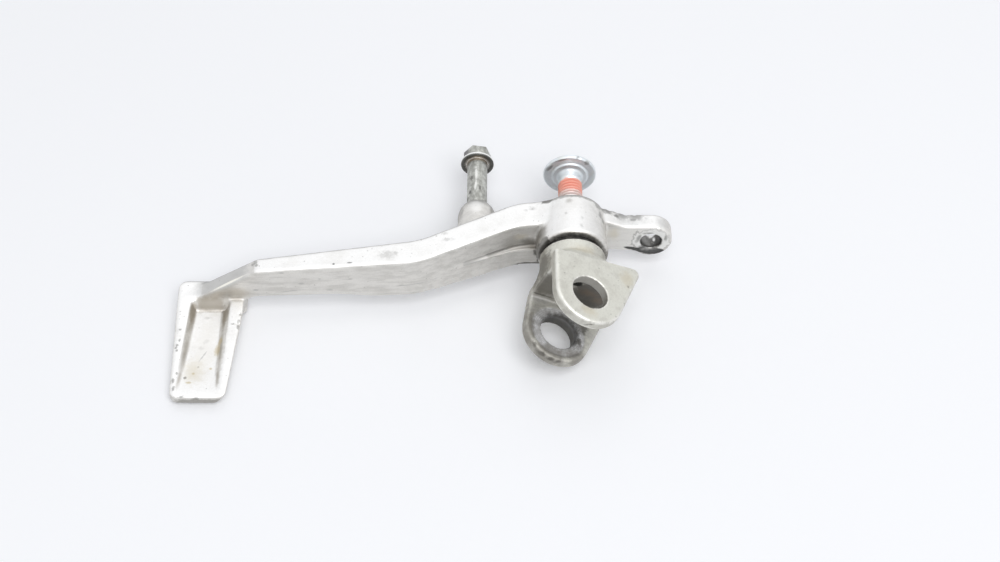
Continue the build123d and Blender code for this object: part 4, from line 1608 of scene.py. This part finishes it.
CLEVIS_STAINS_AND_LIGHT = (
    # Dirt and painted shade: dark brown over the web between the ears.
    StainAndLight((0.19, 0.178, 0.155), 0.85, 0.5, marks((-10.0, -38.7, 2.0, 9.0, 1.6, 9.0)), soft=0.5),
    # Painted shade: near black on the back wall of the slot, under the upper ear.
    StainAndLight((0.06, 0.054, 0.05), 0.85, 0.6, marks((7.5, -38.2, -4.5, 13.0, 2.8, 12.5, 0, 25, 0)), soft=0.5),
    StainAndLight((0.17, 0.135, 0.105), 0.7, 1.4, marks(
        (6.0, -38.4, -3.0, 7.0, 2.0, 3.0, 0, 25, 0), (10.0, -38.4, -8.0, 4.0, 2.0, 3.0, 0, 25, 0),
    ), soft=0.9),
    # Painted shadow: a dark line along the foot of the web.
    StainAndLight((0.10, 0.095, 0.085), 0.7, 0.6, marks((-12.5, -39.0, -4.2, 7.5, 1.0, 0.7, 0, 25.5, 0)), soft=0.5),
    # Painted shade: near black on the wall of the lower ear's pin hole.
    StainAndLight((0.06, 0.058, 0.056), 0.85, 0.3, marks(
        (-6.0, -51.9, -12.2, 9.6, 9.6, 2.9, 0, 25.5, 0), form=Form.TUBE,
    ), soft=0.28),
    # Painted shade: darker on the wall of the upper ear's pin hole.
    StainAndLight((0.27, 0.258, 0.238), 0.72, 0.3, marks(
        (4.5, -53.1, 12.5, 9.2, 9.2, 2.6, 0, 25.5, 0), form=Form.TUBE,
    ), soft=0.15),
    StainAndLight((0.44, 0.43, 0.415), 0.5, 0.5, marks((-12.5, -39.3, -6.1, 8.5, 1.0, 1.5, 0, 25.5, 0)), soft=0.6),
    StainAndLight((0.60, 0.595, 0.58), 0.5, 0.8, marks((-12.5, -40.4, -6.2, 9.0, 2.2, 1.6, 0, 25.5, 0)), soft=0.7),
    StainAndLight((0.16, 0.15, 0.135), 0.28, 2.6, marks(
        (-7.0, -53.0, -9.0, 16.0, 15.0, 4.0, 0, 25.5, 0), form=Form.BLOCK,
    ), soft=0.9),
    StainAndLight((0.21, 0.20, 0.178), 0.8, 1.5, marks(
        (-11.4, -32.0, 5.5, 4.5, 9.0, 8.0), (-14.4, -33.0, -0.5, 3.4, 6.5, 5.5),
    ), soft=0.6),
    # Painted shadow: near black in the gap under the upper ear by the hub.
    StainAndLight((0.012, 0.011, 0.010), 0.95, 0.4, marks((1.2, -38.7, 2.8, 3.0, 1.8, 2.0, 0, 25, 0)), soft=0.4),
    StainAndLight((0.25, 0.235, 0.21), 0.7, 0.9, marks(
        (-10.0, -64.5, -9.0, 11.0, 5.0, 6.0, 0, 25.5, 0), (1.0, -63.0, -14.0, 8.0, 5.0, 4.0, 0, 25.5, 0),
        (-18.0, -54.0, -6.0, 3.0, 14.0, 6.0, 0, 25.5, 0),
    ), soft=0.6),
    # Dark dirt in nicks and chips, and painted shade on the lower ear where the upper ear hangs over it.
    StainAndLight((0.085, 0.078, 0.065), 0.65, 1.6, marks(
        (-12.7, -65.3, -7.7, 2.8, 2.0, 1.6), (-9.6, -66.7, -9.2, 3.2, 1.6, 1.3),
        (-6.5, -67.1, -10.4, 2.6, 1.4, 1.4), (2.2, -55.1, -13.8, 1.6, 4.4, 1.4),
        (3.6, -47.0, -14.0, 4.4, 6.0, 2.4), (-15.4, -62.2, -5.4, 1.0, 2.8, 1.2),
        (21.0, -44.4, 7.6, 1.2, 0.8, 0.8), (5.0, -67.5, 13.0, 3.4, 1.2, 0.7),
    ), soft=0.85),
    StainAndLight((0.58, 0.525, 0.40), 0.5, 1.2, marks(
        (20.4, -40.8, 7.9, 5.0, 6.0, 3.0), (4.0, -62.0, 15.0, 8.0, 5.0, 3.0),
        (4.5, -30.0, 12.5, 9.0, 4.0, 4.0),
    ), soft=0.9),
)

CLEVIS_FILLS = (
    Fill((
        (8.5, -38.5, -13.0), (13.6, -38.5, -14.0), (16.4, -38.5, -8.0), (15.6, -38.5, -1.5),
        (11.0, -38.5, 2.0), (8.0, -30.5, -6.0), (11.5, -30.5, -4.0), (10.0, -30.5, 1.0),
    )),
)

ZINC_STAINS_AND_LIGHT = (
    # Painted shade: darker on the upper side of the neck just below the flange.
    StainAndLight((0.42, 0.44, 0.455), 0.65, 0.4, marks((0.0, 20.9, 5.8, 7.6, 1.4, 2.6)), soft=0.8),
    StainAndLight((0.24, 0.235, 0.23), 0.65, 1.0, marks(
        (-8.4, 21.8, 4.6, 2.8, 1.0, 1.0, 0, -50, 0), (-3.8, 21.8, 9.2, 3.6, 1.0, 0.7, 0, -20, 0),
        (3.2, 21.8, 10.3, 1.2, 1.6, 0.8), (6.9, 21.8, 7.6, 1.6, 1.2, 1.6),
    )),
)

POST_STAINS_AND_LIGHT = (
    # Painted shade: a dark ring on the underside of the flange round its rim.
    StainAndLight((0.085, 0.083, 0.078), 0.85, 0.3, marks((-38.3, 32.4, -5.0, 12.0, 0.8, 12.0)), soft=0.3),
    StainAndLight((0.55, 0.48, 0.385), 0.85, 0.5, marks((-38.3, 32.3, -5.0, 5.8, 1.6, 5.8)), soft=0.25),
    StainAndLight((0.20, 0.145, 0.10), 0.7, 0.7, marks((-38.3, 32.3, -5.0, 5.0, 1.0, 5.0)), soft=0.5),
    # Painted highlight: a pale band round the flange's rim.
    StainAndLight((0.88, 0.88, 0.87), 0.9, 0.3, marks((-38.3, 33.5, -5.0, 12.0, 0.9, 12.0)), soft=0.35),
    # Painted shade: darker on the hexagon's left flat.
    StainAndLight((0.16, 0.15, 0.16), 0.75, 0.6, marks((-43.6, 37.4, -3.2, 3.0, 3.4, 3.2)), soft=0.45),
    StainAndLight((0.80, 0.80, 0.77), 0.85, 1.3, marks(
        (-38.7, 24.0, -0.8, 0.8, 5.0, 0.8), (-38.9, 17.5, -0.8, 0.6, 4.0, 0.7, 0, 0, -8),
        (-41.8, 12.4, -2.7, 0.5, 1.6, 0.8, 0, 0, -30),
    )),
    StainAndLight((0.11, 0.108, 0.10), 0.75, 1.2, marks(
        (-40.6, 22.0, -1.5, 0.8, 1.6, 1.2), (-41.0, 14.2, -1.9, 0.9, 1.4, 1.2),
        (-42.0, 11.6, -3.0, 0.5, 2.0, 1.4, 0, 0, -25), (-37.0, 16.0, -1.0, 0.5, 1.6, 0.6),
        (-38.3, 9.3, -5.0, 5.0, 0.5, 5.0),
    )),
)

PEDAL_DENTS = (
    Dent((-156.6, -48.0, -15.0), 1.1, 0.35), Dent((-156.5, -55.6, -15.8), 1.3, 0.4),
    Dent((-156.3, -71.5, -17.4), 1.3, 0.45), Dent((-155.9, -75.0, -17.9), 1.2, 0.4),
    Dent((-132.0, -40.8, -13.9), 1.0, 0.3), Dent((-132.4, -45.0, -14.4), 1.4, 0.4),
    Dent((-152.8, -78.6, -18.2), 1.4, 0.4), Dent((-146.2, -78.9, -18.8), 1.2, 0.3),
    Dent((15.5, -0.6, 4.2), 1.5, 0.35), Dent((19.0, -0.8, 2.6), 1.2, 0.3), Dent((22.2, -0.8, 1.4), 1.5, 0.4),
    Dent((25.6, -0.8, 1.1), 1.2, 0.35), Dent((-126.2, -27.6, 2.4), 1.2, 0.3),
)

CLEVIS_DENTS = (
    Dent((-12.7, -65.6, -7.5), 1.3, 0.35), Dent((-9.4, -67.0, -8.9), 1.2, 0.3),
    Dent((21.2, -44.6, 7.6), 0.9, 0.3), Dent((5.0, -67.6, 12.8), 1.0, 0.25),
)

ZINC_DENTS = (
    Dent((3.2, 22.0, 10.4), 0.9, 0.35), Dent((6.9, 22.2, 8.5), 0.8, 0.3), Dent((-8.6, 22.0, 6.7), 0.9, 0.3),
    Dent((-2.4, 22.3, 10.7), 0.7, 0.2),
)


def main() -> None:
    """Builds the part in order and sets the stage."""
    logging.basicConfig(level=logging.INFO, format="%(name)s: %(message)s")
    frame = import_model()
    solids_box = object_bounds()
    nodes = frame["nodes"]
    pedal_finish = CastFinish(
        "pedal_casting", skin=(0.725, 0.71, 0.68), shade=(0.61, 0.595, 0.565), top_wear_and_light=(0.885, 0.88, 0.87),
        worn=(0.94, 0.93, 0.89), grime_and_shade=(0.25, 0.225, 0.185), grime_and_shade_reach=5.0, grime_and_shade_weight=0.7,
        roughness=0.52, stains_and_light=PEDAL_STAINS_AND_LIGHT, back_weight=0.85,
    )
    clevis_finish = FacedFinish(
        "clevis_casting", skin=(0.62, 0.61, 0.555), shade=(0.48, 0.465, 0.415), top_wear_and_light=(0.70, 0.695, 0.635),
        worn=(0.92, 0.91, 0.86), grime_and_shade=(0.17, 0.155, 0.13), grime_and_shade_reach=6.0, grime_and_shade_weight=0.25, roughness=0.5,
        stains_and_light=CLEVIS_STAINS_AND_LIGHT, streak_scale=(330.0, 140.0, 330.0), edge_weight=0.75,
        centre=(-1.17, -53.1, 0.56), turn=(0, 25.5, 0), radius=11.8, face=(0.84, 0.845, 0.88),
        dirt=(0.44, 0.43, 0.415),
    )
    pedal = PedalPiece("pedal_arm", Body.PEDAL, Slot.PEDAL_CASTING, pedal_finish, PEDAL_DENTS)
    pedal.build(nodes["pedal_arm"])
    clevis = CastPiece(
        "footrest_clevis", Body.HOLDER, Slot.CLEVIS_CASTING, clevis_finish, CLEVIS_DENTS, CLEVIS_FILLS,
        voxel=0.4,
    )
    clevis.build(nodes["footrest_clevis"])
    PivotBolt(ZincFinish("zinc_plate", stains_and_light=ZINC_STAINS_AND_LIGHT), dents=ZINC_DENTS).build()
    SpringPostBolt(DullSteelFinish("dull_steel", stains_and_light=POST_STAINS_AND_LIGHT)).build()
    rubber = RubberFinish("seal_rubber")
    DustSeal("front_dust_seal", rubber, outer_r=11.08, seat_y=-19.5, lip_y=-23.68).build()
    DustSeal("rear_dust_seal", rubber, outer_r=9.38, seat_y=-2.5, lip_y=-0.92).build()
    PivotBush(BronzeFinish("bush_bronze")).build()
    Studio(FloorFinish("floor_white")).build(solids_box[0].z - FLOOR_GAP * MM)


if __name__ == "__main__":
    main()
